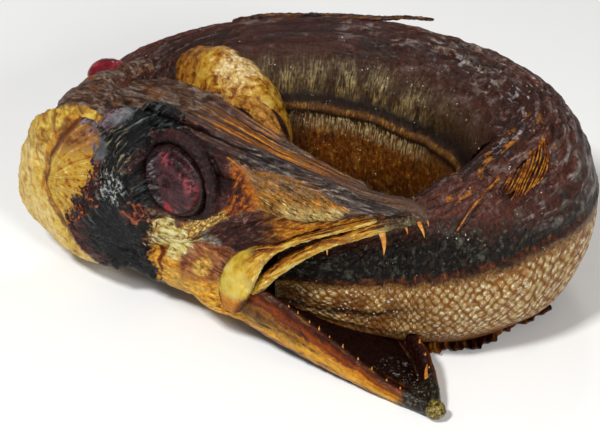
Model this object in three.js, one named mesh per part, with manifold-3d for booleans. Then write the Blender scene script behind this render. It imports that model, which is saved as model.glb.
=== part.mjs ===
// A whole smoked barracuda, curled into a ring on its belly, with its tail end held in its open mouth.
// Millimetres, +Z up. The ring lies on the plane z = 0. The head is at -X, its snout points to +X and -Y.
import * as THREE from "three";
import { mergeVertices } from "three/addons/utils/BufferGeometryUtils.js";
import Module from "manifold-3d";

const wasm = await Module();
wasm.setup();

// The part's own origin, under the middle of its box, in the plan that the sizes below are given in
const RING_CENTRE = [0.53, 6.82];

// The trunk from behind the skull to the tail: plan x, plan y, belly height, back height, half width, and
// the degrees the back leans out of the ring. Where the belly is below zero the fish has flattened under
// its own weight, and is cut off level.
const TRUNK = [
  [-50, 15, 4, 60, 20.4, 0],
  [-56, 34, 1, 63.3, 21.3, 3],
  [-42.5, 50, -1.1, 65.2, 22.4, 10],
  [-11.5, 58, -1.5, 67.4, 23.5, 15],
  [23.5, 53.5, -1.3, 69.3, 24.5, 12],
  [54, 36.3, -1.1, 70.3, 25.3, 7],
  [70.8, 15, -1, 69.3, 24.7, 7],
  [73.6, -4, -0.9, 65.8, 22.5, 0],
  [60.1, -17.9, -0.8, 60.7, 20.8, -2],
  [44.4, -24.9, 0.5, 56.7, 18.8, -2],
  [31, -25.8, 2, 49.7, 15.6, -2],
  [13.5, -24, 4, 40, 11.4, -4],
  [-6, -16.6, 6, 29.2, 6.5, -2],
];
const TRUNK_STEPS = 54;
// Directions round a section, in degrees from the back, outer flank positive. They crowd at the lateral line.
const TRUNK_ANGLES = [0, 14, 28, 43, 57, 66, 71, 76, 83, 95, 112, 132, 155, 180];
const LATERAL_LINE = 75; // degrees from the back
const LATERAL_RIDGE = 0.9; // how far the lateral line stands out of the flank
const LATERAL_GROOVE = 1.1; // depth of the furrow above it on the inner flank
const BACK_WRINKLE = 0.5; // height of the drying wrinkles along the back

// The head's own frame: x forward, y to the fish's left, z up, with the origin at the snout tip
const SNOUT_TIP = [36.5, -55, 65.5];
const HEAD_TURN = 43; // degrees the snout points from +X towards -Y
const HEAD_PITCH = 13; // nose up
const HEAD_ROLL = 2; // right cheek up

// The skull from nape to snout: x, top z, widest z, bottom z, half width, roundness above and below
const SKULL = [
  [-145, 15, -2, -16, 9, 2, 2],
  [-135, 24, 0, -29, 19, 1.9, 2.2],
  [-120, 25.5, 0, -34, 25, 1.8, 2.3],
  [-104, 24, -2, -34, 23, 1.7, 2.4],
  [-88, 20.5, -4, -31, 19.5, 1.6, 2.6],
  [-73, 16.5, -5, -22, 16, 1.6, 2.6],
  [-58, 12.5, -5, -14, 13, 1.6, 2.6],
  [-43, 9.5, -4, -10, 10, 1.7, 2.6],
  [-29, 7, -2.5, -7.5, 7.6, 1.8, 2.6],
  [-15, 5, -1, -5.5, 5.2, 2, 2.4],
  [-5, 3.8, 0, -4.4, 3.6, 2, 2],
  [1, 1.8, 0, -2.2, 1.8, 2, 2],
];
const SKULL_STEPS = 30;
const SKULL_SIDES = 24;

// The dried eyes sit loose in their sockets
const EYE_CENTRE = [-86, 19, 4.3]; // the right one's y is negative
const EYE_RADII = [12.2, 5.6, 11.8];
const EYE_GAP = 0.3;
const ORBIT_RADIUS = 14;
const ORBIT_RIM = 2;

// The upper jaw's two strands a side and the bones beside them, in the head's frame. Each row is x,
// outward y, z, half height and half thickness.
const PREMAXILLA = [
  [-1, 1.6, -0.5, 2.2, 1.4],
  [-10.5, 4.6, -2.2, 2.6, 2],
  [-22.8, 7.2, -6.5, 2.4, 2.1],
  [-32.5, 9.6, -10.2, 2.3, 2],
  [-42.2, 12.1, -15.5, 2.4, 2],
  [-51.7, 14.7, -22.3, 2.5, 2],
  [-57, 16.3, -27.3, 2.5, 2],
  [-62.5, 17.6, -33.5, 1.8, 1.6],
];
const MAXILLA = [
  [-13.4, 6, -0.6, 1, 1],
  [-24.2, 8.6, -3.1, 1.3, 1.3],
  [-36.8, 12, -7.3, 1.4, 1.4],
  [-47.8, 15, -11.9, 1.7, 1.5],
  [-54.6, 17, -16, 3.2, 1.6],
  [-61.3, 18.6, -22.7, 4.6, 1.6],
  [-66.5, 19.2, -29.5, 5, 1.7],
  [-69.8, 19.2, -34.8, 4.6, 1.8],
  [-71.5, 19, -38, 2.4, 1.4],
];
const CHEEK_BONE = [
  [-118, 23, -15, 2, 1.5],
  [-105, 23, -16.5, 3.5, 2.6],
  [-92, 21, -14.5, 4, 2.6],
  [-78, 17.2, -11, 3.2, 2.4],
  [-62, 13.6, -5.5, 3, 1.8],
  [-45, 10, -2, 2.4, 1.2],
  [-30, 7.2, -1, 1.6, 0.8],
];
const ROOF_RIDGE = [
  [-122, 9, 23.2, 1.4, 1.6],
  [-104, 8.2, 22.4, 1.6, 1.8],
  [-86, 7.2, 19.4, 1.5, 1.6],
  [-66, 5.6, 14.3, 1.4, 1.4],
  [-44, 4, 9.3, 1.2, 1.2],
  [-24, 2.6, 5.9, 1, 1],
];
const BROW = [
  [-108, 17.5, 16.5, 1.6, 2.6],
  [-98, 16.8, 18.6, 2.2, 2.8],
  [-86, 15.2, 17.6, 2.2, 2.6],
  [-74, 13, 14.4, 1.8, 2.2],
  [-60, 10.4, 10.4, 1.2, 1.6],
];

// The lower jaw in the part's plan: x, y, bottom z, top z, half thickness, from the tip back
const RIGHT_MANDIBLE = [
  [41.5, -65.6, 0, 5, 2.4],
  [35.3, -61.9, 0, 5.6, 2.4],
  [27.3, -57.1, 0.3, 7, 2.4],
  [17.6, -51.3, 1.4, 11.5, 2.4],
  [6, -44.4, 3.3, 17, 2.5],
  [-4.5, -38, 5.6, 22, 2.9],
  [-15, -31.6, 8.6, 27, 3.4],
  [-26, -25, 11.4, 31, 4],
  [-36, -19, 16.5, 31, 3.8],
  [-43, -15, 20.5, 29, 2.6],
];
const LEFT_MANDIBLE = [
  [41.5, -65.6, 0, 5, 2.4],
  [41, -56, 0.2, 7.6, 2.4],
  [38.6, -45, 0.8, 11, 2.4],
  [33, -32, 1, 12, 2.5],
  [22, -16, 3, 15, 2.6],
  [9, -3, 8, 22, 3],
  [-5, 9, 14, 30, 4],
];
const MOUTH_FLOOR = 3.4; // its thickness over the table
const JAW_TIP = [41.6, -65.8, 3]; // the knob where the two halves meet
const JAW_JOINT = [-84, 20.5, -26.5]; // in the head's frame
// The cheek between the gill cover and the jaw, in the head's frame: x, outward y, z
const CHEEK = [
  [-60, 13.5, -8],
  [-66, 15, -22],
  [-73, 17.5, -35],
  [-90, 21, -37],
  [-104, 23, -34],
  [-112, 24, -20],
  [-84, 19.5, -6],
];
const CHEEK_DEPTH = 7;
// The throat closes the underside between jaw, cheeks and belly, in the part's plan: x, y, z
const THROAT = [
  [-24, -24, 11],
  [-37, -18, 14],
  [-58, -5, 13],
  [-76, 12, 12],
  [-62, 32, 8],
  [-36, 30, 8],
  [-12, 14, 12],
  [0, 6, 8],
];
const THROAT_DEPTH = 8;

// The right gill cover in the head's frame: outline x, z, and outward y of its inner edge, rim and dome
const GILL_RIGHT = {
  side: -1,
  middle: [-131, -1],
  levels: [26, 30.5, 35.5],
  outline: [
    [-123, 27],
    [-137, 23.5],
    [-147, 15],
    [-154.5, 5],
    [-159, -5],
    [-160, -12.5],
    [-156, -18.5],
    [-148, -23],
    [-138, -27],
    [-124, -29],
    [-110, -26],
    [-104, 0],
    [-110, 21],
  ],
};
// The left one is pushed forward and out by the bend of the trunk. Domes are given by centre and radii.
const GILL_LEFT = { centre: [-108.5, 23.5, 4.5], radii: [28, 13.5, 27] };
const PREGILL_RIGHT = { centre: [-117, -20, -5], radii: [22.5, 10.5, 28] };
const PREGILL_LEFT = { centre: [-102, 17, -3], radii: [20, 13, 25] };
const SHOULDER_RIGHT = { centre: [-130, -13.5, 11], radii: [17, 15.5, 17.5] };
const GILL_CHAMBER = { centre: [-133.5, -13.5, -4.5], radii: [23, 17, 21] };
const CHAR_PATCH = { centre: [-112, -16.5, 1], radii: [17, 11, 23] };
const NAPE_FLESH = { centre: [-65.5, 43, 57], radii: [7, 6.5, 6] }; // in the plan

// Fangs: x, outward y, z of the root, length, lean forward. The first rows are of the upper jaw.
const UPPER_TEETH = [
  [0.5, 1.6, -1.6, 4.6, 0.35],
  [-3, 2.4, -2.4, 3, 0.2],
  [-10.8, 5.4, -3.6, 7, 0.05],
  [-32.6, 10, -11.6, 2.6, 0],
  [-43, 12.6, -17.2, 1.6, 0],
  [-49, 14.2, -21.4, 1.5, 0],
];
// Small teeth of the lower jaw, as shares of the way along each half from the tip, with their height
const LOWER_TEETH = [
  [0.13, 2.2],
  [0.24, 1.4],
  [0.31, 1.5],
  [0.38, 2.2],
  [0.45, 2.6],
  [0.5, 2],
  [0.54, 2.4],
  [0.58, 2],
];
const TOOTH_THICKNESS = 0.16; // radius of the root as a share of the length
const TOOTH_ROOT = 0.6; // depth the root is set into the jaw
const LEFT_FANG = { root: [39.6, -55, 7], length: 5.4 };

// Fins, on the trunk: share of the length u, degrees from the back, height above the skin
const FIRST_DORSAL = [
  [0.225, 9, -0.4],
  [0.25, 8, 0.6],
  [0.28, 6, 1],
  [0.31, 6, 1.2],
  [0.335, 7, 1.8],
  [0.355, 9, 2.8],
  [0.375, 11, 4],
];
const SECOND_DORSAL_BASE = [
  [0.505, 13],
  [0.61, 0],
];
const SECOND_DORSAL_TIPS = [
  [0.622, 36],
  [0.672, 22],
];
const LOOSE_RAY = [
  [0.69, 2, -0.4],
  [0.705, 14, 1.6],
  [0.725, 28, 2.2],
  [0.745, 46, 1.4],
];
const FIN_THICKNESS = 1.1;
const ANAL_FIN = { from: 0.63, to: 0.8, reach: 3.4, notch: 1.4 }; // ragged flap under the outer flank

const V = (x, y, z) => new THREE.Vector3(x, y, z);
const UP = V(0, 0, 1);
const rad = THREE.MathUtils.degToRad;

// Columns are the head's forward, left and up directions.
function headMatrix() {
  const turn = rad(HEAD_TURN);
  const pitch = rad(HEAD_PITCH);
  const roll = rad(HEAD_ROLL);
  const forward = V(
    Math.cos(turn) * Math.cos(pitch),
    -Math.sin(turn) * Math.cos(pitch),
    Math.sin(pitch),
  );
  const level = V(Math.sin(turn), Math.cos(turn), 0);
  const upright = V(0, 0, 0).crossVectors(forward, level);
  const left = level.clone().multiplyScalar(Math.cos(roll));
  left.addScaledVector(upright, -Math.sin(roll));
  const up = V(0, 0, 0).crossVectors(forward, left);
  return new THREE.Matrix4().makeBasis(forward, left, up).setPosition(...SNOUT_TIP);
}
const HEAD = headMatrix();
const PLAN = new THREE.Matrix4();

// One column of a table of stations at u from 0 to 1, on a smooth curve through them.
function column(table, index, u) {
  const last = table.length - 1;
  const s = Math.min(Math.max(u, 0), 1) * last;
  const i = Math.min(Math.floor(s), last - 1);
  const f = s - i;
  const at = (k) => table[Math.min(Math.max(k, 0), last)][index];
  const [a, b, c, d] = [at(i - 1), at(i), at(i + 1), at(i + 2)];
  const cubic = f * (3 * (b - c) + d - a);
  return b + 0.5 * f * (c - a + f * (2 * a - 5 * b + 4 * c - d + cubic));
}

function solid(points, faces) {
  const make = (list) =>
    new wasm.Manifold(
      new wasm.Mesh({
        numProp: 3,
        vertProperties: new Float32Array(points.flatMap((p) => [p.x, p.y, p.z])),
        triVerts: new Uint32Array(list.flat()),
      }),
    );
  const made = make(faces);
  return made.volume() > 0 ? made : make(faces.map(([a, b, c]) => [a, c, b]));
}

// A closed solid through a row of outlines with equal numbers of points, each end closed by a fan.
function loft(rings) {
  const sides = rings[0].length;
  const points = rings.flat();
  const faces = [];
  for (let i = 0; i < rings.length - 1; i++) {
    for (let j = 0; j < sides; j++) {
      const a = i * sides + j;
      const b = i * sides + ((j + 1) % sides);
      faces.push([a, b, b + sides], [a, b + sides, a + sides]);
    }
  }
  const close = (ring, flip) => {
    const middle = V(0, 0, 0);
    for (const p of rings[ring]) middle.addScaledVector(p, 1 / sides);
    const hub = points.push(middle) - 1;
    for (let j = 0; j < sides; j++) {
      const a = ring * sides + j;
      const b = ring * sides + ((j + 1) % sides);
      faces.push(flip ? [hub, b, a] : [hub, a, b]);
    }
  };
  close(0, true);
  close(rings.length - 1, false);
  return solid(points, faces);
}

// A tapering bar with an oval section. Each row is a centre, the half size across and the half size deep.
function bar(rows, deepWay, steps, sides = 6) {
  const centre = (u) => V(column(rows, 0, u), column(rows, 1, u), column(rows, 2, u));
  const rings = [];
  for (let i = 0; i <= steps; i++) {
    const u = i / steps;
    const here = centre(u);
    const along = centre(u + 0.01).sub(centre(u - 0.01)).normalize();
    const deep = deepWay.clone().addScaledVector(along, -deepWay.dot(along)).normalize();
    const across = V(0, 0, 0).crossVectors(along, deep);
    const ring = [];
    for (let j = 0; j < sides; j++) {
      const a = (2 * Math.PI * j) / sides;
      const p = here.clone().addScaledVector(across, Math.cos(a) * column(rows, 3, u));
      ring.push(p.addScaledVector(deep, Math.sin(a) * column(rows, 4, u)));
    }
    rings.push(ring);
  }
  return loft(rings);
}

// A thin sheet from a grid of points, thickened to both sides of its surface.
function sheet(grid, thickness) {
  const rows = grid.length;
  const cols = grid[0].length;
  const at = (i, j) => grid[Math.min(Math.max(i, 0), rows - 1)][Math.min(Math.max(j, 0), cols - 1)];
  const points = [];
  for (const side of [0.5, -0.5]) {
    for (let i = 0; i < rows; i++) {
      for (let j = 0; j < cols; j++) {
        const down = at(i + 1, j).clone().sub(at(i - 1, j));
        const along = at(i, j + 1).clone().sub(at(i, j - 1));
        const normal = down.cross(along).normalize();
        points.push(at(i, j).clone().addScaledVector(normal, side * thickness));
      }
    }
  }
  const faces = [];
  const id = (s, i, j) => s * rows * cols + i * cols + j;
  const quad = (a, b, c, d) => faces.push([a, b, c], [a, c, d]);
  for (let i = 0; i < rows - 1; i++) {
    for (let j = 0; j < cols - 1; j++) {
      quad(id(0, i, j), id(0, i, j + 1), id(0, i + 1, j + 1), id(0, i + 1, j));
      quad(id(1, i, j), id(1, i + 1, j), id(1, i + 1, j + 1), id(1, i, j + 1));
    }
    quad(id(0, i, 0), id(0, i + 1, 0), id(1, i + 1, 0), id(1, i, 0));
    quad(id(0, i + 1, cols - 1), id(0, i, cols - 1), id(1, i, cols - 1), id(1, i + 1, cols - 1));
  }
  for (let j = 0; j < cols - 1; j++) {
    quad(id(0, 0, j + 1), id(0, 0, j), id(1, 0, j), id(1, 0, j + 1));
    quad(id(0, rows - 1, j), id(0, rows - 1, j + 1), id(1, rows - 1, j + 1), id(1, rows - 1, j));
  }
  return solid(points, faces);
}

// A three.js geometry as a solid for cutting and joining.
function solidOf(geometry) {
  geometry.deleteAttribute("normal");
  geometry.deleteAttribute("uv");
  const merged = mergeVertices(geometry, 1e-4);
  return new wasm.Manifold(
    new wasm.Mesh({
      numProp: 3,
      vertProperties: new Float32Array(merged.attributes.position.array),
      triVerts: new Uint32Array(merged.index.array),
    }),
  );
}

// An ellipsoid whose surface may be roughened by whole lumps of the given height.
function ellipsoid({ centre, radii }, place, rows = 9, lump = 0) {
  const ball = new THREE.SphereGeometry(1, rows * 2, rows).rotateX(Math.PI / 2);
  const spots = ball.attributes.position;
  for (let i = 0; i < spots.count; i++) {
    const p = V(0, 0, 0).fromBufferAttribute(spots, i);
    const [x, y, z] = [p.x * radii[0], p.y * radii[1], p.z * radii[2]];
    const rough = Math.sin(1.1 * x + 0.7 * z) * Math.cos(0.9 * z - 0.5 * x + 0.8 * y);
    const grow = 1 + (lump * rough) / Math.hypot(x, y, z);
    spots.setXYZ(i, centre[0] + x * grow, centre[1] + y * grow, centre[2] + z * grow);
  }
  return solidOf(ball.applyMatrix4(place));
}

// A fang: a slender cone from its root towards its tip.
function fang(root, tip) {
  const way = tip.clone().sub(root);
  const length = way.length();
  const radius = Math.max(0.5, TOOTH_THICKNESS * length);
  const cone = new THREE.ConeGeometry(radius, length, 5);
  cone.translate(0, length / 2 - TOOTH_ROOT, 0);
  const turn = new THREE.Quaternion().setFromUnitVectors(V(0, 1, 0), way.normalize());
  cone.applyQuaternion(turn).translate(root.x, root.y, root.z);
  return solidOf(cone);
}

// The two mirror copies of something in the head's frame
const bothSides = (make) => [-1, 1].map((side) => make(side));
const headBar = (rows, side, steps, sides) => {
  const mirrored = rows.map(([x, y, z, across, deep]) => [x, y * side, z, across, deep]);
  return bar(mirrored, V(0, 1, 0), steps, sides).transform(HEAD.toArray());
};

// Trunk
const hill = (value, middle, width) => Math.exp(-(((value - middle) / width) ** 2));

function trunkFrame(u) {
  const at = (v) => V(column(TRUNK, 0, v), column(TRUNK, 1, v), 0);
  const along = at(u + 0.004).sub(at(u - 0.004)).normalize();
  const belly = column(TRUNK, 2, u);
  const back = column(TRUNK, 3, u);
  const here = at(u).setZ((belly + back) / 2);
  const outward = V(-along.y, along.x, 0);
  const lean = rad(column(TRUNK, 5, u));
  const across = outward.clone().multiplyScalar(Math.cos(lean)).addScaledVector(UP, -Math.sin(lean));
  const top = outward.clone().multiplyScalar(Math.sin(lean)).addScaledVector(UP, Math.cos(lean));
  return { here, outward, across, top, half: (back - belly) / 2 };
}

// Lateral line, furrow and drying wrinkles, as millimetres out of the smooth section
function trunkRelief(u, degrees) {
  const away = Math.abs(degrees);
  const fade = Math.min(1, Math.max(0, (0.92 - u) / 0.2));
  let relief = LATERAL_RIDGE * hill(away, LATERAL_LINE, 4) * fade;
  if (degrees < 0) relief -= LATERAL_GROOVE * hill(away, LATERAL_LINE - 8, 4) * fade;
  relief += BACK_WRINKLE * Math.cos(away * 0.57) * hill(away, 0, 50) * fade;
  relief += 0.5 * Math.sin(46 * u + away * 0.05) * hill(away, 100, 45) * Math.sin(17 * u);
  relief -= 1.6 * hill(u, 0.15, 0.02) * hill(degrees, -70, 50);
  return relief;
}

function trunkPoint(u, degrees, lift = 0) {
  const { here, across, top, half } = trunkFrame(u);
  const width = column(TRUNK, 4, u);
  const a = rad(degrees);
  const skin = lift + trunkRelief(u, degrees);
  const normal = V(Math.sin(a) * half, Math.cos(a) * width, 0).normalize();
  here.addScaledVector(across, Math.sin(a) * width + normal.x * skin);
  return here.addScaledVector(top, Math.cos(a) * half + normal.y * skin);
}

function trunk() {
  const inner = TRUNK_ANGLES.slice(1, -1).map((a) => -a);
  const angles = [...TRUNK_ANGLES, ...inner.reverse()];
  const rings = [];
  for (let i = 0; i <= TRUNK_STEPS; i++) {
    rings.push(angles.map((a) => trunkPoint(i / TRUNK_STEPS, a)));
  }
  return loft(rings);
}

// Skull with brows, cheek bones, orbits and gill covers
function skull() {
  const rings = [];
  for (let i = 0; i <= SKULL_STEPS; i++) {
    const read = (k) => column(SKULL, k, i / SKULL_STEPS);
    const ring = [];
    for (let j = 0; j < SKULL_SIDES; j++) {
      const a = (2 * Math.PI * j) / SKULL_SIDES;
      const above = Math.cos(a) >= 0;
      const power = 2 / read(above ? 5 : 6);
      const y = -read(4) * Math.sign(Math.sin(a)) * Math.abs(Math.sin(a)) ** power;
      const reach = Math.abs(Math.cos(a)) ** power;
      const z = read(2) + (read(above ? 1 : 3) - read(2)) * reach;
      ring.push(V(read(0), y, z).applyMatrix4(HEAD));
    }
    rings.push(ring);
  }
  return loft(rings);
}

function orbit(side) {
  const rim = new THREE.TorusGeometry(ORBIT_RADIUS, ORBIT_RIM, 6, 22).rotateX(Math.PI / 2);
  rim.translate(EYE_CENTRE[0], side * (EYE_CENTRE[1] - 0.6), EYE_CENTRE[2]);
  return solidOf(rim.applyMatrix4(HEAD));
}

function eye(side, grow = 0) {
  const centre = [EYE_CENTRE[0], side * EYE_CENTRE[1], EYE_CENTRE[2]];
  const radii = EYE_RADII.map((r) => r + grow);
  return ellipsoid({ centre, radii }, HEAD, 9);
}

// A gill cover is a domed plate over a traced outline: rings of the outline, shrinking towards the dome.
const GILL_RINGS = [
  [0.9, 0, 0],
  [1, 1, 0],
  [0.86, 1, 0.45],
  [0.62, 1, 0.8],
  [0.3, 1, 0.98],
];
function gillCover({ side, middle, levels, outline }) {
  const [inner, rim, dome] = levels;
  const corners = GILL_RINGS.flatMap(([share, out, rise]) =>
    outline.map(([x, z]) => {
      const y = inner + (rim - inner) * out + (dome - rim) * rise;
      const [dx, dz] = [x - middle[0], z - middle[1]];
      return V(middle[0] + dx * share, side * y, middle[1] + dz * share);
    }),
  );
  return wasm.Manifold.hull(corners.map((p) => p.applyMatrix4(HEAD).toArray()));
}

function gillCovers() {
  return [
    gillCover(GILL_RIGHT),
    ellipsoid(GILL_LEFT, HEAD, 9),
    ellipsoid(PREGILL_RIGHT, HEAD, 8),
    ellipsoid(PREGILL_LEFT, HEAD, 7),
    ellipsoid(SHOULDER_RIGHT, HEAD, 7),
    ellipsoid(GILL_CHAMBER, HEAD, 7),
    ellipsoid(CHAR_PATCH, HEAD, 10, 0.8),
  ];
}

// The cheek hangs from the skull to the jaw joint as a thick flap.
function cheek(side) {
  const corners = CHEEK.flatMap(([x, y, z]) => [
    V(x, side * y, z),
    V(x, side * (y - CHEEK_DEPTH), z),
  ]);
  return wasm.Manifold.hull(corners.map((p) => p.applyMatrix4(HEAD).toArray()));
}

// Lower jaw: two halves, the floor between them, the knob at the tip and the joints
function mandible(rows) {
  const centred = rows.map(([x, y, low, high, thick]) => [
    x,
    y,
    (low + high) / 2,
    (high - low) / 2,
    thick,
  ]);
  const along = V(rows[0][0] - rows.at(-1)[0], rows[0][1] - rows.at(-1)[1], 0);
  const deepWay = V(-along.y, along.x, 0).normalize();
  return bar(centred, deepWay, 12, 8);
}

function lowerJaw() {
  const outline = [...RIGHT_MANDIBLE.slice(0, 8), ...LEFT_MANDIBLE.slice(1)];
  const floor = outline.flatMap(([x, y, low]) => [
    [x, y, low + 0.6],
    [x, y, low + MOUTH_FLOOR],
  ]);
  const joints = bothSides((side) => {
    const centre = [JAW_JOINT[0], side * JAW_JOINT[1], JAW_JOINT[2]];
    return ellipsoid({ centre, radii: [5, 2.6, 4.4] }, HEAD, 6);
  });
  const throat = THROAT.flatMap(([x, y, z]) => [
    [x, y, z],
    [x, y, z + THROAT_DEPTH],
  ]);
  return [
    mandible(RIGHT_MANDIBLE),
    mandible(LEFT_MANDIBLE),
    wasm.Manifold.hull(floor),
    wasm.Manifold.hull(throat),
    ellipsoid({ centre: JAW_TIP, radii: [4.2, 3.9, 3.6] }, PLAN, 7, 0.4),
    ...joints,
  ];
}

function teeth() {
  const upper = bothSides((side) =>
    UPPER_TEETH.map(([x, y, z, length, lean]) => {
      const root = V(x, y * side, z);
      const tip = V(x + lean * length, y * side, z - length);
      return fang(root.applyMatrix4(HEAD), tip.applyMatrix4(HEAD));
    }),
  ).flat();
  const lower = [RIGHT_MANDIBLE, LEFT_MANDIBLE].flatMap((rows) =>
    LOWER_TEETH.map(([u, height]) => {
      const root = V(column(rows, 0, u), column(rows, 1, u), column(rows, 3, u) - 0.2);
      return fang(root, root.clone().addScaledVector(UP, height));
    }),
  );
  const root = V(...LEFT_FANG.root);
  const long = fang(root, root.clone().addScaledVector(UP, LEFT_FANG.length));
  return [...upper, ...lower, long];
}

// Fins, dried flat against the skin
function firstDorsal() {
  const rows = FIRST_DORSAL.map(([u, degrees, lift], i) => {
    const p = trunkPoint(u, degrees, lift);
    const thin = 1 - i / FIRST_DORSAL.length;
    return [p.x, p.y, p.z, 0.7 + 2.2 * thin, 0.7 + 0.6 * thin];
  });
  return bar(rows, UP, 12, 8);
}

function secondDorsal() {
  const columns = 8;
  const rows = 4;
  const mix = ([from, to], k, s) => from[k] + (to[k] - from[k]) * s;
  const grid = [];
  for (let i = 0; i <= rows; i++) {
    const row = [];
    for (let j = 0; j <= columns; j++) {
      const s = j / columns;
      const reach = (i / rows) * (j % 2 ? 1 : 0.86);
      const foot = [0, 1].map((k) => mix(SECOND_DORSAL_BASE, k, s));
      const tip = [0, 1].map((k) => mix(SECOND_DORSAL_TIPS, k, s));
      const [u, degrees] = [0, 1].map((k) => foot[k] + (tip[k] - foot[k]) * reach);
      row.push(trunkPoint(u, degrees, -0.6 + 4.4 * reach));
    }
    grid.push(row);
  }
  return sheet(grid, FIN_THICKNESS);
}

function looseRay() {
  const rows = LOOSE_RAY.map(([u, degrees, lift]) => {
    const p = trunkPoint(u, degrees, lift);
    return [p.x, p.y, p.z, 0.9, 0.7];
  });
  return bar(rows, UP, 8, 6);
}

function analFin() {
  const count = 12;
  const grid = [[], [], []];
  for (let j = 0; j <= count; j++) {
    const u = ANAL_FIN.from + ((ANAL_FIN.to - ANAL_FIN.from) * j) / count;
    const { here, outward } = trunkFrame(u);
    const foot = here.clone().setZ(0.9);
    const ragged = ANAL_FIN.notch * Math.sin(j * 2.4) + 0.5 * ANAL_FIN.notch * Math.sin(j * 5.1);
    const width = column(TRUNK, 4, u) * 0.42;
    grid[0].push(foot.clone().addScaledVector(outward, width - 5));
    grid[1].push(foot.clone().addScaledVector(outward, width));
    const edge = foot.clone().addScaledVector(outward, width + ANAL_FIN.reach + ragged);
    grid[2].push(edge);
  }
  return sheet(grid, FIN_THICKNESS);
}

// Everything that has dried together is one body; the eyes are loose in it.
function fish() {
  const pieces = [
    trunk(),
    skull(),
    ...bothSides(orbit),
    ...bothSides((side) => headBar(CHEEK_BONE, side, 9)),
    ...bothSides((side) => headBar(ROOF_RIDGE, side, 8, 5)),
    ...bothSides((side) => headBar(BROW, side, 8)),
    ...bothSides((side) => headBar(PREMAXILLA, side, 12)),
    ...bothSides((side) => headBar(MAXILLA, side, 12)),
    ...bothSides(cheek),
    ...gillCovers(),
    ...lowerJaw(),
    ...teeth(),
    ellipsoid(NAPE_FLESH, PLAN, 7, 0.5),
    firstDorsal(),
    secondDorsal(),
    looseRay(),
    analFin(),
  ];
  let body = pieces[0];
  for (const piece of pieces.slice(1)) body = body.add(piece);
  for (const side of [-1, 1]) body = body.subtract(eye(side, EYE_GAP));
  return body.trimByPlane([0, 0, 1], 0);
}

function meshOf(made, name, material) {
  const moved = made.translate([-RING_CENTRE[0], -RING_CENTRE[1], 0]);
  const { numProp, vertProperties, triVerts } = moved.getMesh();
  const geometry = new THREE.BufferGeometry();
  geometry.setAttribute("position", new THREE.BufferAttribute(vertProperties, numProp));
  geometry.setIndex(new THREE.BufferAttribute(triVerts, 1));
  const mesh = new THREE.Mesh(geometry, material);
  mesh.name = name;
  return mesh;
}

const skin = new THREE.MeshStandardMaterial({ color: 0x4a2c20, roughness: 0.42, metalness: 0 });
const iris = new THREE.MeshStandardMaterial({ color: 0x3a1618, roughness: 0.22, metalness: 0 });

const ring = new THREE.Group();
ring.name = "smoked_barracuda_ring";
ring.add(meshOf(fish(), "fish", skin));
ring.add(meshOf(eye(-1), "eye_right", iris));
ring.add(meshOf(eye(1), "eye_left", iris));

export default ring;
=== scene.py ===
import math

import bpy
import numpy as np
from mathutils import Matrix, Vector, noise


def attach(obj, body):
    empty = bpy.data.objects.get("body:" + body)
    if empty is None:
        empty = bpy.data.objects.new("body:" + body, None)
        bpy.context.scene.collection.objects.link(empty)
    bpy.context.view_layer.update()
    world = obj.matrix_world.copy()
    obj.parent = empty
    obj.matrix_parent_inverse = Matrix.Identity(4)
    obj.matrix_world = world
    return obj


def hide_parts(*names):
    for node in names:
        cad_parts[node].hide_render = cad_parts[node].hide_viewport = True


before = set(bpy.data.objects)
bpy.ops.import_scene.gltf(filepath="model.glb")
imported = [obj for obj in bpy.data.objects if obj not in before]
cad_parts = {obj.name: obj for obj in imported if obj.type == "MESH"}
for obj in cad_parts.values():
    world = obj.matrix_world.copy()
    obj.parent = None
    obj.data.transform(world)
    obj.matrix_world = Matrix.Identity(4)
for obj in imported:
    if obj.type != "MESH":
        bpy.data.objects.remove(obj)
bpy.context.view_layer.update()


# Camera, floor and light.
# The fish lies on a plain pale table and is seen from 35 degrees above it, from its open mouth's side, by
# a camera 600 mm off. Soft light comes from above and behind, with a weaker one from the front left.
scene = bpy.context.scene
scene.view_settings.view_transform = "Standard"
scene.view_settings.look = "None"

AIM = Vector((-0.00053, -0.00682, 0.030))
LOOK_DOWN = math.radians(35)
DISTANCE = 0.600
away = Vector((0, -math.cos(LOOK_DOWN), math.sin(LOOK_DOWN)))
bpy.ops.object.camera_add(location=AIM + away * DISTANCE, rotation=(math.radians(90) - LOOK_DOWN, 0, 0))
camera = bpy.context.object
camera.name = "camera"
camera.data.sensor_width = 36
camera.data.lens = 109.1
camera.data.clip_start = 0.05
scene.camera = camera

bpy.ops.mesh.primitive_plane_add(size=6, location=(0, 0, -0.0004))
floor = bpy.context.object
floor.name = "floor"
paper = bpy.data.materials.new("pale_table")
paper.use_nodes = True
paper.node_tree.nodes["Principled BSDF"].inputs["Base Color"].default_value = (0.93, 0.93, 0.92, 1)
paper.node_tree.nodes["Principled BSDF"].inputs["Roughness"].default_value = 0.8
floor.data.materials.append(paper)

world = bpy.data.worlds.new("studio")
world.use_nodes = True
world.node_tree.nodes["Background"].inputs["Color"].default_value = (1.0, 0.985, 0.96, 1)
world.node_tree.nodes["Background"].inputs["Strength"].default_value = 0.20
scene.world = world


def lamp(name, place, size, power, aim):
    bpy.ops.object.light_add(type="AREA", location=place)
    made = bpy.context.object
    made.name = name
    made.data.size = size
    made.data.energy = power
    made.rotation_mode = "QUATERNION"
    made.rotation_quaternion = (Vector(aim) - Vector(place)).to_track_quat("-Z", "Y")
    return made


lamp("key_light", (-0.34, -0.34, 0.72), 0.12, 5.4, (0, 0, 0.03))
lamp("front_light", (0.30, -0.62, 0.44), 0.14, 2.8, (0, 0, 0.03))
lamp("back_light", (0.10, 0.62, 0.60), 0.20, 1.0, (0, 0, 0.03))


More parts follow.
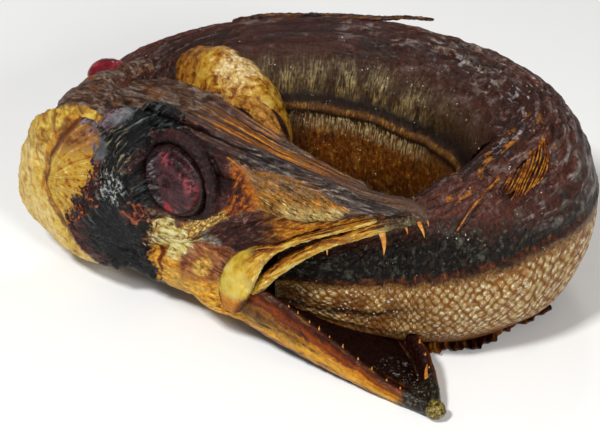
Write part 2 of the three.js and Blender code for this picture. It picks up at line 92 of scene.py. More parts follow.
# Trunk.
# The long body behind the skull, bent into a ring on its belly until the tail end goes into the mouth.
# Its skin has shrunk on in the smoke: a dark wrinkled back, a raised lateral line and diamond scales.
RING_CENTRE = (0.53, 6.82)
# Plan x, plan y, belly height, back height, half width, degrees of lean out of the ring, from nape to tail
TRUNK = np.array([
    (-50, 15, 4, 60, 20.4, 0),
    (-56, 34, 1, 63.3, 21.3, 3),
    (-42.5, 50, -1.1, 65.2, 22.4, 10),
    (-11.5, 58, -1.5, 67.4, 23.5, 15),
    (23.5, 53.5, -1.3, 69.3, 24.5, 12),
    (54, 36.3, -1.1, 70.3, 25.3, 7),
    (70.8, 15, -1, 69.3, 24.7, 7),
    (73.6, -4, -0.9, 65.8, 22.5, 0),
    (60.1, -17.9, -0.8, 60.7, 20.8, -2),
    (44.4, -24.9, 0.5, 56.7, 18.8, -2),
    (31, -25.8, 2, 49.7, 15.6, -2),
    (13.5, -24, 4, 40, 11.4, -4),
    (-6, -16.6, 6, 29.2, 6.5, -2),
])
TRUNK_STEPS = 520
TRUNK_SIDES = 176
SCALE_PITCH = 2.5


def along_table(table, u):
    """Every column of a table of stations at u from 0 to 1, on a smooth curve through them."""
    last = len(table) - 1
    s = np.clip(u, 0, 1) * last
    i = np.minimum(s.astype(int), last - 1)
    f = (s - i)[:, None]
    a, b, c, d = (table[np.clip(i + k, 0, last)] for k in (-1, 0, 1, 2))
    return b + 0.5 * f * (c - a + f * (2 * a - 5 * b + 4 * c - d + f * (3 * (b - c) + d - a)))


def hill(value, middle, width):
    return np.exp(-(((value - middle) / width) ** 2))


def step_up(value, low, high):
    s = np.clip((value - low) / (high - low), 0, 1)
    return s * s * (3 - 2 * s)


def rough(points, size, seed, octaves=3):
    """Fractal noise of about -1 to 1 at points in millimetres, its largest lumps of the given size."""
    shift = Vector((seed * 7.31, seed * 3.17, seed * 5.71))
    return np.array([noise.fractal(Vector(p) / size + shift, 1.0, 2.0, octaves) for p in points])


def trunk_points(u, degrees, lift=0.0):
    """Points of the trunk's skin in metres, at shares u of its length and degrees from the back."""
    at = along_table(TRUNK, u)
    way = along_table(TRUNK, u + 0.004)[:, :2] - along_table(TRUNK, u - 0.004)[:, :2]
    way /= np.linalg.norm(way, axis=1)[:, None]
    zero = np.zeros(len(u))
    outward = np.stack([-way[:, 1], way[:, 0], zero], 1)
    lean = np.radians(at[:, 5])[:, None]
    up = np.array([0, 0, 1.0])
    across = outward * np.cos(lean) - up * np.sin(lean)
    top = outward * np.sin(lean) + up * np.cos(lean)
    half = (at[:, 3] - at[:, 2]) / 2
    width = at[:, 4]
    a = np.radians(degrees)
    nx, ny = np.sin(a) * half, np.cos(a) * width
    size = np.hypot(nx, ny)
    middle = np.stack([at[:, 0] - RING_CENTRE[0], at[:, 1] - RING_CENTRE[1], (at[:, 2] + at[:, 3]) / 2], 1)
    sideways = np.sin(a) * width + nx / size * lift
    upwards = np.cos(a) * half + ny / size * lift
    return (middle + across * sideways[:, None] + top * upwards[:, None]) / 1000


def long_wrinkles(place):
    """Sharp-crested wrinkles, 1 at the crest, that run along the body on a flat place in millimetres."""
    drift = rough(place, 14, 9, 2)[:, None] * (3, 5, 0)
    return 1 - 2.4 * np.abs(rough((place + drift) * (0.18, 1, 1), 2.5, 8, 3))


def trunk_relief(u, degrees):
    """Millimetres out of the smooth section: lateral line, furrow, a dent, folds, wrinkles and scale rows."""
    away = np.abs(degrees)
    inner = degrees < 0
    fade = np.clip((0.92 - u) / 0.2, 0, 1)
    relief = 0.6 * hill(away, 74, 2.2) * fade
    relief -= np.where(inner, (0.9 * hill(away, 66, 6) + 0.5 * hill(away, 78.5, 2.2)) * fade, 0)
    relief += 0.5 * np.cos(away * 0.57) * hill(away, 0, 50) * fade
    relief += 0.5 * np.sin(46 * u + away * 0.05) * hill(away, 100, 45) * np.sin(17 * u)
    relief -= 1.6 * hill(u, 0.15, 0.02) * hill(degrees, -70, 50)
    place = np.stack([u * 300, degrees * 0.42, np.zeros(len(u))], 1)
    drift = rough(place, 16, 5, 2)[:, None] * (6, 3, 0)
    folds = rough((place + drift * 2) * (0.42, 1, 1), 4.6, 1, 3)
    wrinkles = rough(place * (0.45, 1, 1) + drift, 2.4, 6, 3)
    relief += (0.40 * folds + 0.22 * wrinkles) * hill(away, 0, 62)
    relief += 0.45 * rough(place, 11, 2, 2) - 0.06
    columns = rough(place * (1, 0.2, 1), 1.7, 3, 2)
    relief += np.where(inner, 0.20 * columns * hill(away, 95, 65), 0.08 * columns)
    relief += 0.16 * rough(place, 1.8, 4, 2)
    # the keel of the back, with the groove beside it that the second dorsal fin folds into
    relief += 0.9 * hill(degrees, -3, 6) * step_up(u, 0.44, 0.52) * step_up(-u, -0.96, -0.80)
    relief -= 1.0 * hill(degrees, 6, 3.5) * hill(u, 0.462, 0.035)
    # the back is crinkled round the second dorsal fin
    relief += 0.9 * rough(place * (0.8, 1, 1), 5.5, 7, 4) * hill(u, 0.44, 0.10) * hill(away, 0, 60)
    strength = 0.42 * (0.25 + 0.75 * hill(u, 0.47, 0.14)) * hill(away, 0, 76) * fade
    relief += strength * long_wrinkles(place) * np.where(inner, 0.4, 1)
    # the belly's slack folds by the mouth
    relief += 0.8 * np.sin(away * 0.33 + 14 * u) * hill(away, 128, 16) * hill(u, 0.86, 0.09) * ~inner
    return relief


def deselect():
    if bpy.context.object and bpy.context.object.mode != "OBJECT":
        bpy.ops.object.mode_set(mode="OBJECT")
    bpy.ops.object.select_all(action="DESELECT")


def take(piece):
    deselect()
    piece.select_set(True)
    bpy.context.view_layer.objects.active = piece


def coordinates(piece):
    found = np.zeros(len(piece.data.vertices) * 3)
    piece.data.vertices.foreach_get("co", found)
    return found.reshape(-1, 3)


def place_points(piece, points):
    piece.data.vertices.foreach_set("co", np.asarray(points, np.float32).ravel())
    piece.data.update()


def mark(piece, name, values):
    """Keeps a value, or a triple, for every point under a name that the piece's material reads."""
    kind = "FLOAT" if np.ndim(values) == 1 else "FLOAT_VECTOR"
    layer = piece.data.attributes.new(name, kind, "POINT")
    layer.data.foreach_set("value" if kind == "FLOAT" else "vector", np.asarray(values, np.float32).ravel())


deselect()
bpy.ops.mesh.primitive_grid_add(x_subdivisions=TRUNK_STEPS, y_subdivisions=TRUNK_SIDES, size=2)
trunk = bpy.context.object
trunk.name = "trunk"
flat = coordinates(trunk)
u = (flat[:, 0] + 1) / 2
degrees = flat[:, 1] * 180
place_points(trunk, trunk_points(u, degrees, trunk_relief(u, degrees)))
mark(trunk, "along", u)
mark(trunk, "round", np.abs(degrees))
mark(trunk, "side", np.sin(np.radians(degrees)))
flat_place = np.stack([u * 300, degrees * 0.42, np.zeros(len(u))], 1)
drifted = rough(flat_place, 16, 5, 2)[:, None] * (6, 3, 0)
mark(trunk, "crests", rough((flat_place + drifted * 2) * (0.42, 1, 1), 4.6, 1, 3)
     + 0.6 * rough(flat_place * (0.45, 1, 1) + drifted, 2.4, 6, 3))
mark(trunk, "wrinkled", long_wrinkles(flat_place))
# The skin's own map runs in scales: along the body, and round it from the back
skin_map = trunk.data.uv_layers.active
skin_map.name = "skin"
laid = np.zeros(len(skin_map.data) * 2)
skin_map.data.foreach_get("uv", laid)
laid = laid.reshape(-1, 2)
laid[:, 0] *= 300 / SCALE_PITCH
laid[:, 1] = (laid[:, 1] - 0.5) * 150 / SCALE_PITCH
skin_map.data.foreach_set("uv", laid.astype(np.float32).ravel())
take(trunk)
bpy.ops.object.mode_set(mode="EDIT")
bpy.ops.mesh.select_all(action="SELECT")
bpy.ops.mesh.remove_doubles(threshold=0.00001)
bpy.ops.mesh.select_all(action="DESELECT")
bpy.ops.mesh.select_mode(type="EDGE")
bpy.ops.mesh.select_non_manifold()
bpy.ops.mesh.edge_face_add()
bpy.ops.mesh.select_all(action="SELECT")
bpy.ops.mesh.normals_make_consistent(inside=False)
bpy.ops.object.mode_set(mode="OBJECT")
# What would reach under the table is pressed flat on it
pressed = coordinates(trunk)
pressed[:, 2] = np.maximum(pressed[:, 2], 0)
place_points(trunk, pressed)
bpy.ops.object.shade_smooth()


# The materials are wired from a few short calls, each of which gives back the socket it makes.
def new_node(tree, kind, settings=None, inputs=None):
    made = tree.nodes.new("ShaderNode" + kind)
    for name, value in (settings or {}).items():
        setattr(made, name, value)
    for name, value in (inputs or {}).items():
        socket = made.inputs[name]
        if isinstance(value, bpy.types.NodeSocket):
            tree.links.new(value, socket)
        else:
            socket.default_value = value
    return made


def marked(tree, name, vector=False):
    found = new_node(tree, "Attribute", {"attribute_name": name})
    return found.outputs["Vector" if vector else "Fac"]


def maths(tree, operation, first, second=0.0, third=0.0, clamp=False):
    return new_node(tree, "Math", {"operation": operation, "use_clamp": clamp},
                    {0: first, 1: second, 2: third}).outputs[0]


def times(tree, first, second):
    return maths(tree, "MULTIPLY", first, second)


def scaled(tree, value, factor, added):
    """The value times a factor, with something added."""
    return maths(tree, "MULTIPLY_ADD", value, factor, added)


def span(tree, value, low, high, to_low=0.0, to_high=1.0, smooth=True):
    """The value's way from low to high, as 0 to 1 or as the two ends given."""
    return new_node(tree, "MapRange", {"interpolation_type": "SMOOTHSTEP" if smooth else "LINEAR"},
                    {"Value": value, "From Min": low, "From Max": high,
                     "To Min": to_low, "To Max": to_high}).outputs[0]


def blend(tree, share, under, over, way="MIX"):
    made = new_node(tree, "Mix", {"data_type": "RGBA", "blend_type": way, "clamp_factor": True})
    for socket, value in ((made.inputs[0], share), (made.inputs[6], under), (made.inputs[7], over)):
        if isinstance(value, bpy.types.NodeSocket):
            tree.links.new(value, socket)
        elif isinstance(value, tuple):
            socket.default_value = (*value, 1)
        else:
            socket.default_value = value
    return made.outputs[2]


def ramp(tree, value, stops):
    """A colour ramp; stops are (place, colour or grey)."""
    made = new_node(tree, "ValToRGB", None, {"Fac": value})
    bar = made.color_ramp
    while len(bar.elements) > 1:
        bar.elements.remove(bar.elements[-1])
    for n, (spot, colour) in enumerate(stops):
        stop = bar.elements[0] if n == 0 else bar.elements.new(spot)
        stop.position = spot
        colour = colour if isinstance(colour, tuple) else (colour,) * 3
        stop.color = (*colour, 1)
    return made.outputs["Color"]


def stretched(tree, vector, scale, turn=(0, 0, 0)):
    """A place turned first and scaled then, so that streaks drawn on it run the turned way."""
    return new_node(tree, "Mapping", {"vector_type": "TEXTURE"}, {
        "Vector": vector, "Scale": tuple(1 / s if s else 0 for s in scale), "Rotation": turn}).outputs[0]


def grain(tree, vector, scale, detail=3.0, hard=0.55, warp=0.0):
    return new_node(tree, "TexNoise", None, {"Vector": vector, "Scale": scale, "Detail": detail,
                                             "Roughness": hard, "Distortion": warp}).outputs["Fac"]


def relief(tree, height, depth, strength=1.0, under=None):
    """A bump; depth is in metres."""
    inputs = {"Height": height, "Distance": depth, "Strength": strength}
    if under is not None:
        inputs["Normal"] = under
    return new_node(tree, "Bump", None, inputs).outputs["Normal"]


def group(name, takes, gives):
    """An empty node group with its sockets, its input node and its output node."""
    made = bpy.data.node_groups.new(name, "ShaderNodeTree")
    for socket, kind, value in takes:
        made_socket = made.interface.new_socket(socket, in_out="INPUT", socket_type="NodeSocket" + kind)
        if value is not None:
            made_socket.default_value = value
    for socket, kind in gives:
        made.interface.new_socket(socket, in_out="OUTPUT", socket_type="NodeSocket" + kind)
    return made, made.nodes.new("NodeGroupInput"), made.nodes.new("NodeGroupOutput")


def use(tree, made, **inputs):
    node = tree.nodes.new("ShaderNodeGroup")
    node.node_tree = made
    for name, value in inputs.items():
        socket = node.inputs[name.replace("_", " ")]
        if isinstance(value, bpy.types.NodeSocket):
            tree.links.new(value, socket)
        else:
            socket.default_value = value
    return node.outputs


def finish(name, roughness=None, coat=0.0, coat_roughness=0.12, see_into=0.0):
    """A new material, its tree and its shader, with the values that are the same all over."""
    made = bpy.data.materials.new(name)
    made.use_nodes = True
    shader = made.node_tree.nodes["Principled BSDF"]
    shader.inputs["Specular IOR Level"].default_value = 0.13
    shader.inputs["Coat Weight"].default_value = coat
    shader.inputs["Coat Roughness"].default_value = coat_roughness
    if roughness is not None:
        shader.inputs["Roughness"].default_value = roughness
    if see_into:
        shader.inputs["Subsurface Weight"].default_value = see_into
        shader.inputs["Subsurface Radius"].default_value = (0.004, 0.0016, 0.0006)
        shader.inputs["Subsurface Scale"].default_value = 0.4
    return made, made.node_tree, shader


def wet(tree, shader, bump):
    """The same bump for the skin and for the thin film of fat on it."""
    tree.links.new(bump, shader.inputs["Normal"])
    tree.links.new(bump, shader.inputs["Coat Normal"])


# Scales: rounded plates with a lift over the next one, a dome, a rim, and a shade for each
scales, taken, given = group("scales", [("Map", "Vector", None), ("Uneven", "Float", 0.3)],
                             [("Rim", "Float"), ("Lift", "Float"), ("Dome", "Float"), ("Shade", "Float")])
wave = new_node(scales, "TexNoise", {"noise_dimensions": "2D"},
                {"Vector": taken.outputs["Map"], "Scale": 0.45, "Detail": 3.0})
shaken = new_node(scales, "VectorMath", {"operation": "MULTIPLY_ADD"},
                  {0: wave.outputs["Color"], 1: (0.9, 0.9, 0), 2: taken.outputs["Map"]}).outputs[0]
lattice = stretched(scales, shaken, (1.04, 1.04, 1), (0, 0, math.radians(-45)))
cell = new_node(scales, "TexVoronoi", {"voronoi_dimensions": "2D", "feature": "SMOOTH_F1"},
                {"Vector": lattice, "Scale": 1.0, "Smoothness": 0.22,
                 "Randomness": taken.outputs["Uneven"]})
scales.links.new(span(scales, cell.outputs["Distance"], 0.22, 0.60), given.inputs["Rim"])
scales.links.new(span(scales, cell.outputs["Distance"], 0.70, 0.05), given.inputs["Dome"])
offset = new_node(scales, "VectorMath", {"operation": "SUBTRACT"},
                  {0: lattice, 1: cell.outputs["Position"]})
rise = new_node(scales, "VectorMath", {"operation": "DOT_PRODUCT"},
                {0: offset.outputs[0], 1: (0.7, 0.7, 0)})
scales.links.new(span(scales, rise.outputs["Value"], -0.6, 0.6, smooth=False), given.inputs["Lift"])
tint = new_node(scales, "SeparateColor", None, {"Color": cell.outputs["Color"]})
scales.links.new(tint.outputs["Red"], given.inputs["Shade"])

# Salt grains and dry flakes that have caught on the skin, also used as painted white glints
salt, taken, given = group("salt_grains", [("Place", "Vector", None), ("Size", "Float", 900.0),
                                           ("Amount", "Float", 0.5)], [("Grains", "Float")])
specks = new_node(salt, "TexVoronoi", {"feature": "F1"}, {"Vector": taken.outputs["Place"],
                                                          "Scale": taken.outputs["Size"]})
patches = grain(salt, taken.outputs["Place"], 130.0, 3.0, 0.7)
near = maths(salt, "MULTIPLY", span(salt, patches, 0.42, 0.66), taken.outputs["Amount"])
reach = maths(salt, "MULTIPLY", near, 0.34)
salt.links.new(maths(salt, "LESS_THAN", specks.outputs["Distance"], reach), given.inputs["Grains"])

skin, tree, shader = finish("smoked_skin", coat=0.12, coat_roughness=0.12)
uv = new_node(tree, "UVMap", {"uv_map": "skin"}).outputs["UV"]
place = new_node(tree, "TexCoord").outputs["Object"]
along, round_, side = marked(tree, "along"), marked(tree, "round"), marked(tree, "side")
outer = span(tree, side, -0.06, 0.06)
inner = maths(tree, "SUBTRACT", 1.0, outer)
fine = grain(tree, uv, 2.2, 4.0, 0.65)
blot = grain(tree, uv, 0.22, 4.0, 0.6)
patch = grain(tree, uv, 0.7, 4.0, 0.6, 0.6)
fibres = grain(tree, stretched(tree, uv, (0.16, 1.3, 1)), 1.4, 5.0, 0.62, 0.5)
strokes = grain(tree, stretched(tree, uv, (4.2, 0.80, 1)), 1.0, 5.0, 0.66, 0.4)
clumps = grain(tree, stretched(tree, uv, (0.5, 0.22, 1)), 1.0, 4.0, 0.6, 0.4)
scale = use(tree, scales, Map=uv, Uneven=0.38)
wander = scaled(tree, fine, 9.0, scaled(tree, blot, 10.0, -9.5))
wander = blend(tree, outer, times(tree, wander, 0.45), wander)
height = maths(tree, "DIVIDE", maths(tree, "ADD", round_, wander), 180)
over_line = ramp(tree, height, [
    (0.0, (0.070, 0.018, 0.008)), (0.12, (0.078, 0.019, 0.010)), (0.24, (0.068, 0.016, 0.008)),
    (0.325, (0.050, 0.013, 0.006)), (0.365, (0.016, 0.008, 0.004)), (0.388, (0.010, 0.005, 0.003)),
    (0.400, (0.13, 0.032, 0.006)), (0.414, (0.035, 0.011, 0.003)), (0.432, (0.18, 0.080, 0.016)),
    (0.50, (0.29, 0.155, 0.048)), (0.60, (0.39, 0.230, 0.080)), (0.69, (0.33, 0.180, 0.052)),
    (0.75, (0.19, 0.070, 0.012)), (0.86, (0.07, 0.022, 0.006)), (1.0, (0.04, 0.014, 0.006))])
# the inner flank from the back down; the near-black bands in the grooves either side of the orange lateral
# line are painted shade
under_line = ramp(tree, height, [
    (0.0, (0.042, 0.009, 0.004)), (0.10, (0.036, 0.008, 0.004)), (0.20, (0.042, 0.011, 0.005)),
    (0.27, (0.046, 0.018, 0.006)), (0.33, (0.030, 0.012, 0.003)), (0.372, (0.006, 0.002, 0.001)),
    (0.392, (0.02, 0.007, 0.001)), (0.403, (0.12, 0.044, 0.005)), (0.412, (0.06, 0.018, 0.002)),
    (0.424, (0.005, 0.002, 0.001)), (0.444, (0.090, 0.030, 0.003)), (0.53, (0.115, 0.028, 0.001)),
    (0.64, (0.080, 0.021, 0.001)), (0.75, (0.050, 0.013, 0.001)), (1.0, (0.03, 0.010, 0.002))])
colour = blend(tree, outer, under_line, over_line)
colour = blend(tree, times(tree, span(tree, patch, 0.44, 0.32), 0.5), colour, (0.020, 0.007, 0.005))
# painted grey sheen in streaks along the back, and painted shade in the creases between them
back = span(tree, round_, 66, 20)
sheen_streaks = times(tree, times(tree, span(tree, fibres, 0.54, 0.72), back),
                      span(tree, blot, 0.40, 0.60))
colour = blend(tree, times(tree, sheen_streaks, 0.32), colour, (0.17, 0.110, 0.100))
colour = blend(tree, times(tree, span(tree, fibres, 0.45, 0.32), back), colour, (0.012, 0.004, 0.002))
# painted shade in the hollows of the folds
crests = marked(tree, "crests")
colour = blend(tree, times(tree, span(tree, crests, -0.05, -0.55), times(tree, back, 0.8)),
               colour, (0.014, 0.005, 0.003))
# painted grey highlights on the crests, and painted shade in the hollows and creases, of the long wrinkles
creased = grain(tree, stretched(tree, uv, (0.17, 0.9, 1)), 0.8, 2.0, 0.5, 0.8)
crinkly = times(tree, span(tree, along, 0.30, 0.40, 0.25, 1.0), span(tree, along, 0.72, 0.60, 0.25, 1.0))
crinkly = times(tree, times(tree, crinkly, span(tree, patch, 0.36, 0.56)),
                blend(tree, outer, span(tree, round_, 40, 16), span(tree, round_, 78, 60)))
wrinkled = marked(tree, "wrinkled")
crest_highlights = times(tree, span(tree, wrinkled, 0.60, 0.88), span(tree, fibres, 0.40, 0.54))
colour = blend(tree, times(tree, times(tree, crinkly, 0.9), crest_highlights), colour, (0.30, 0.255, 0.245))
colour = blend(tree, times(tree, crinkly, times(tree, span(tree, wrinkled, 0.30, -0.10), 0.7)),
               colour, (0.020, 0.008, 0.006))
colour = blend(tree, times(tree, crinkly, span(tree, creased, 0.46, 0.40)), colour, (0.018, 0.007, 0.005))
# painted grey sheen on the crests of the folds
fold_crest_sheen = times(tree, span(tree, crests, 0.15, 0.55), span(tree, patch, 0.44, 0.58))
colour = blend(tree, times(tree, fold_crest_sheen,
                           times(tree, back, span(tree, along, 0.26, 0.40, 0.15, 0.40))),
               colour, (0.20, 0.145, 0.130))
# edges of the scale rows, showing through the dark skin as short pale strokes
near_back = times(tree, outer, back)
rows_show = times(tree, span(tree, strokes, 0.56, 0.72), near_back)
colour = blend(tree, times(tree, rows_show, 0.50), colour, (0.19, 0.115, 0.100))
# golden streaks across the inner flank above its line, thickest in the middle of the bend: painted
# reflections of the light on the rows of scales
middle = times(tree, span(tree, height, 0.19, 0.31), span(tree, height, 0.375, 0.35))
reach = times(tree, span(tree, along, 0.055, 0.12), span(tree, along, 0.47, 0.37))
gold = times(tree, times(tree, inner, middle), reach)
lit = times(tree, gold, span(tree, clumps, 0.34, 0.66))
colour = blend(tree, times(tree, lit, 0.55), colour, (0.135, 0.090, 0.036))
colour = blend(tree, times(tree, lit, span(tree, strokes, 0.46, 0.60)), colour,
               ramp(tree, height, [(0.20, (0.25, 0.215, 0.165)), (0.29, (0.30, 0.235, 0.110)),
                                   (0.35, (0.22, 0.135, 0.030))]))
colour = blend(tree, times(tree, gold, span(tree, strokes, 0.47, 0.36)), colour, (0.014, 0.006, 0.002))
# ribs along the line itself, pale flecks under it, and columns of small scales down to the belly
ribbed = times(tree, inner, times(tree, span(tree, height, 0.392, 0.401),
                                  span(tree, height, 0.420, 0.412)))
colour = blend(tree, times(tree, ribbed,
                           times(tree, span(tree, strokes, 0.50, 0.64), span(tree, clumps, 0.40, 0.54))),
               colour, (0.28, 0.140, 0.022))
flecks = times(tree, times(tree, inner, span(tree, height, 0.422, 0.432)),
               span(tree, height, 0.485, 0.455))
flecks = times(tree, times(tree, flecks, span(tree, strokes, 0.46, 0.58)),
               times(tree, span(tree, along, 0.24, 0.33, 0.15, 1.0), span(tree, along, 0.46, 0.38)))
low = times(tree, inner, span(tree, height, 0.44, 0.48))
colour = blend(tree, times(tree, low, span(tree, patch, 0.50, 0.66)), colour, (0.20, 0.075, 0.006))
colour = blend(tree, times(tree, low, times(tree, span(tree, strokes, 0.47, 0.36), 0.8)),
               colour, (0.016, 0.004, 0.001))
colour = blend(tree, times(tree, low, span(tree, fine, 0.62, 0.72)), colour, (0.30, 0.17, 0.040))
colour = blend(tree, flecks, colour, (0.30, 0.235, 0.110))
# pale scales with brown rims below the outer line
pale = times(tree, outer, times(tree, span(tree, height, 0.435, 0.47), span(tree, height, 0.78, 0.70)))
scale_colour = ramp(tree, scale["Rim"], [(0.0, (0.58, 0.42, 0.180)), (0.50, (0.50, 0.320, 0.105)),
                                         (0.80, (0.37, 0.170, 0.028)), (1.0, (0.22, 0.070, 0.006))])
scale_colour = blend(tree, span(tree, scale["Shade"], 0.55, 0.0), scale_colour,
                     (0.78, 0.62, 0.48), "MULTIPLY")
# painted white glints near the middle of the scales
scale_glints = times(tree, span(tree, scale["Rim"], 0.34, 0.10), span(tree, fine, 0.51, 0.57))
scale_colour = blend(tree, times(tree, scale_glints, 0.85), scale_colour, (0.84, 0.78, 0.62))
scale_colour = blend(tree, span(tree, along, 0.62, 0.50), scale_colour, (1.12, 1.16, 1.30), "MULTIPLY")
colour = blend(tree, times(tree, pale, 0.88), colour, scale_colour)
colour = blend(tree, times(tree, pale, times(tree, span(tree, patch, 0.50, 0.64), 0.7)),
               colour, (0.25, 0.085, 0.010))
darker = times(tree, times(tree, outer, span(tree, along, 0.72, 0.88)), span(tree, height, 0.44, 0.50))
colour = blend(tree, times(tree, darker, span(tree, blot, 0.40, 0.55)), colour, (0.17, 0.060, 0.010))
# painted shade in the crease of the slack belly by the mouth
slack = scaled(tree, blot, 0.10, scaled(tree, along, -0.35, height))
slack = times(tree, span(tree, maths(tree, "ABSOLUTE", maths(tree, "SUBTRACT", slack, 0.325)),
                         0.020, 0.004), span(tree, along, 0.78, 0.86))
colour = blend(tree, times(tree, times(tree, slack, outer), 0.9), colour, (0.020, 0.007, 0.003))
# a near-black band on the near flank, its dark skin darkened further by painted shadow of the jaws and with
# painted highlights on the domes of its scales; and orange fat that has sweated out on the crest
jaw_shadow_height = scaled(tree, span(tree, along, 0.60, 0.80), 0.16, height)
dark_band_and_jaw_shadow = times(tree, times(tree, outer, span(tree, along, 0.52, 0.66)),
             times(tree, span(tree, scaled(tree, patch, 0.16, jaw_shadow_height), 0.37, 0.50),
                   span(tree, height, 0.425, 0.395)))
shadowed_band_colour = ramp(tree, fine, [(0.42, (0.0006, 0.0004, 0.0002)), (0.56, (0.003, 0.0018, 0.001)),
                          (0.64, (0.035, 0.020, 0.009)), (0.74, (0.19, 0.175, 0.13))])
# painted highlights on the domes of the scales
scale_dome_highlights = times(tree, span(tree, scale["Rim"], 0.62, 0.15), span(tree, scale["Shade"], 0.42, 0.80))
shadowed_band_colour = blend(tree, times(tree, scale_dome_highlights, 0.6), shadowed_band_colour, ramp(tree, patch, [
    (0.42, (0.050, 0.020, 0.005)), (0.52, (0.055, 0.050, 0.030)), (0.60, (0.085, 0.090, 0.068)),
    (0.70, (0.20, 0.20, 0.16))]))
colour = blend(tree, times(tree, dark_band_and_jaw_shadow, 0.95), colour, shadowed_band_colour)
slime = times(tree, times(tree, outer, span(tree, patch, 0.54, 0.66)),
              times(tree, span(tree, height, 0.20, 0.30), span(tree, height, 0.41, 0.38)))
colour = blend(tree, times(tree, slime, 0.6), colour, (0.085, 0.088, 0.062))
beads = times(tree, times(tree, outer, span(tree, height, 0.382, 0.396)), span(tree, height, 0.420, 0.404))
colour = blend(tree, times(tree, beads, 0.85), colour, ramp(tree, patch, [
    (0.42, (0.008, 0.002, 0.001)), (0.54, (0.060, 0.013, 0.002)), (0.64, (0.18, 0.045, 0.005)),
    (0.72, (0.44, 0.20, 0.03))]))
fat_spots = span(tree, grain(tree, stretched(tree, uv, (0.5, 1, 1)), 0.55, 3.0, 0.6), 0.57, 0.66)
crest = times(tree, span(tree, round_, 34, 14), span(tree, along, 0.52, 0.60))
colour = blend(tree, times(tree, crest, fat_spots), colour, (0.34, 0.115, 0.012))
# a pale mottled sheen painted at the far right of the back, brightest on the crests of the wrinkles
far_right_sheen = times(tree, span(tree, round_, 40, 10),
              times(tree, span(tree, along, 0.33, 0.39), span(tree, along, 0.50, 0.46)))
mottle = times(tree, span(tree, grain(tree, uv, 0.9, 5.0, 0.7), 0.50, 0.64),
               span(tree, wrinkled, 0.20, 0.80, 0.15, 1.0))
colour = blend(tree, times(tree, far_right_sheen, times(tree, mottle, 0.8)), colour, (0.34, 0.26, 0.19))
# painted grey sheen on the wrinkle crests of the near flank
near_flank_sheen = times(tree, times(tree, outer, span(tree, patch, 0.44, 0.60)),
               times(tree, span(tree, along, 0.36, 0.42), span(tree, along, 0.64, 0.56)))
near_flank_sheen = times(tree, near_flank_sheen, span(tree, wrinkled, 0.20, 0.75, 0.15, 1.0))
near_flank_sheen = times(tree, near_flank_sheen, times(tree, span(tree, round_, 22, 34), span(tree, round_, 74, 66)))
colour = blend(tree, times(tree, near_flank_sheen, 0.8), colour, (0.24, 0.180, 0.150))
# white specks: salt grains and flakes, and painted glints, on the belly and the back
where = times(tree, span(tree, blot, 0.38, 0.56), blend(tree, pale, (0.45, 0.45, 0.45), (1.15, 1.15, 1.15)))
grains = use(tree, salt, Place=place, Size=620.0, Amount=where)["Grains"]
colour = blend(tree, times(tree, grains, 0.8), colour, (0.74, 0.68, 0.58))
specks_and_glints = use(tree, salt, Place=place, Size=1000.0,
           Amount=times(tree, span(tree, patch, 0.48, 0.64), 0.60))["Grains"]
colour = blend(tree, times(tree, specks_and_glints, 0.45), colour, (0.60, 0.52, 0.45))
deep = ramp(tree, fine, [(0.36, 0.40), (0.48, 0.85), (0.58, 1.35), (0.68, 2.1)])
colour = blend(tree, maths(tree, "SUBTRACT", 0.75, times(tree, pale, 0.45)), colour, deep, "MULTIPLY")
tree.links.new(colour, shader.inputs["Base Color"])
tree.links.new(blend(tree, outer, span(tree, fine, 0.3, 0.7, 0.34, 0.62),
                     span(tree, fine, 0.3, 0.7, 0.24, 0.50)), shader.inputs["Roughness"])
lift = maths(tree, "ADD", times(tree, scale["Lift"], 0.8), scale["Dome"])
bump = relief(tree, lift, 0.0008, blend(tree, pale, (0.22, 0.22, 0.22), (0.9, 0.9, 0.9)))
bump = relief(tree, blend(tree, back, strokes, fibres), 0.0011, 0.8, bump)
bump = relief(tree, creased, 0.0030, times(tree, crinkly, 0.8), bump)
bump = relief(tree, fine, 0.0005, 0.7, bump)
wet(tree, shader, bump)
trunk.data.materials.append(skin)
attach(trunk, "root")
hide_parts("fish")


# Skull and cheeks.
# Bare roof of the skull under a dried skin, with brows, cheek bones and the lids round the eyes. The right
# side was too near the fire: behind the eye it has burnt to black glassy crust down to the throat.
SNOUT_TIP = np.array([36.5, -55, 65.5]) - (*RING_CENTRE, 0)
HEAD_TURN, HEAD_PITCH, HEAD_ROLL = np.radians([43, 13, 2])
forward = np.array([math.cos(HEAD_TURN) * math.cos(HEAD_PITCH), -math.sin(HEAD_TURN) * math.cos(HEAD_PITCH),
                    math.sin(HEAD_PITCH)])
level = np.array([math.sin(HEAD_TURN), math.cos(HEAD_TURN), 0])
left = level * math.cos(HEAD_ROLL) - np.cross(forward, level) * math.sin(HEAD_ROLL)
HEAD_AXES = np.stack([forward, left, np.cross(forward, left)])


def from_head(points):
    """Millimetres in the head's own frame (forward, left, up from the snout tip) to metres here."""
    return (np.asarray(points, float) @ HEAD_AXES + SNOUT_TIP) / 1000


def to_head(points):
    return (points * 1000 - SNOUT_TIP) @ HEAD_AXES.T


def from_plan(points):
    return (np.asarray(points, float) - (*RING_CENTRE, 0)) / 1000


def close_up(piece):
    """Merges the seam, fills the open ends and turns the faces outwards."""
    take(piece)
    bpy.ops.object.mode_set(mode="EDIT")
    bpy.ops.mesh.select_all(action="SELECT")
    bpy.ops.mesh.remove_doubles(threshold=0.000004)
    bpy.ops.mesh.fill_holes(sides=0)
    bpy.ops.mesh.select_all(action="SELECT")
    bpy.ops.mesh.normals_make_consistent(inside=False)
    bpy.ops.object.mode_set(mode="OBJECT")
    bpy.ops.object.shade_smooth()


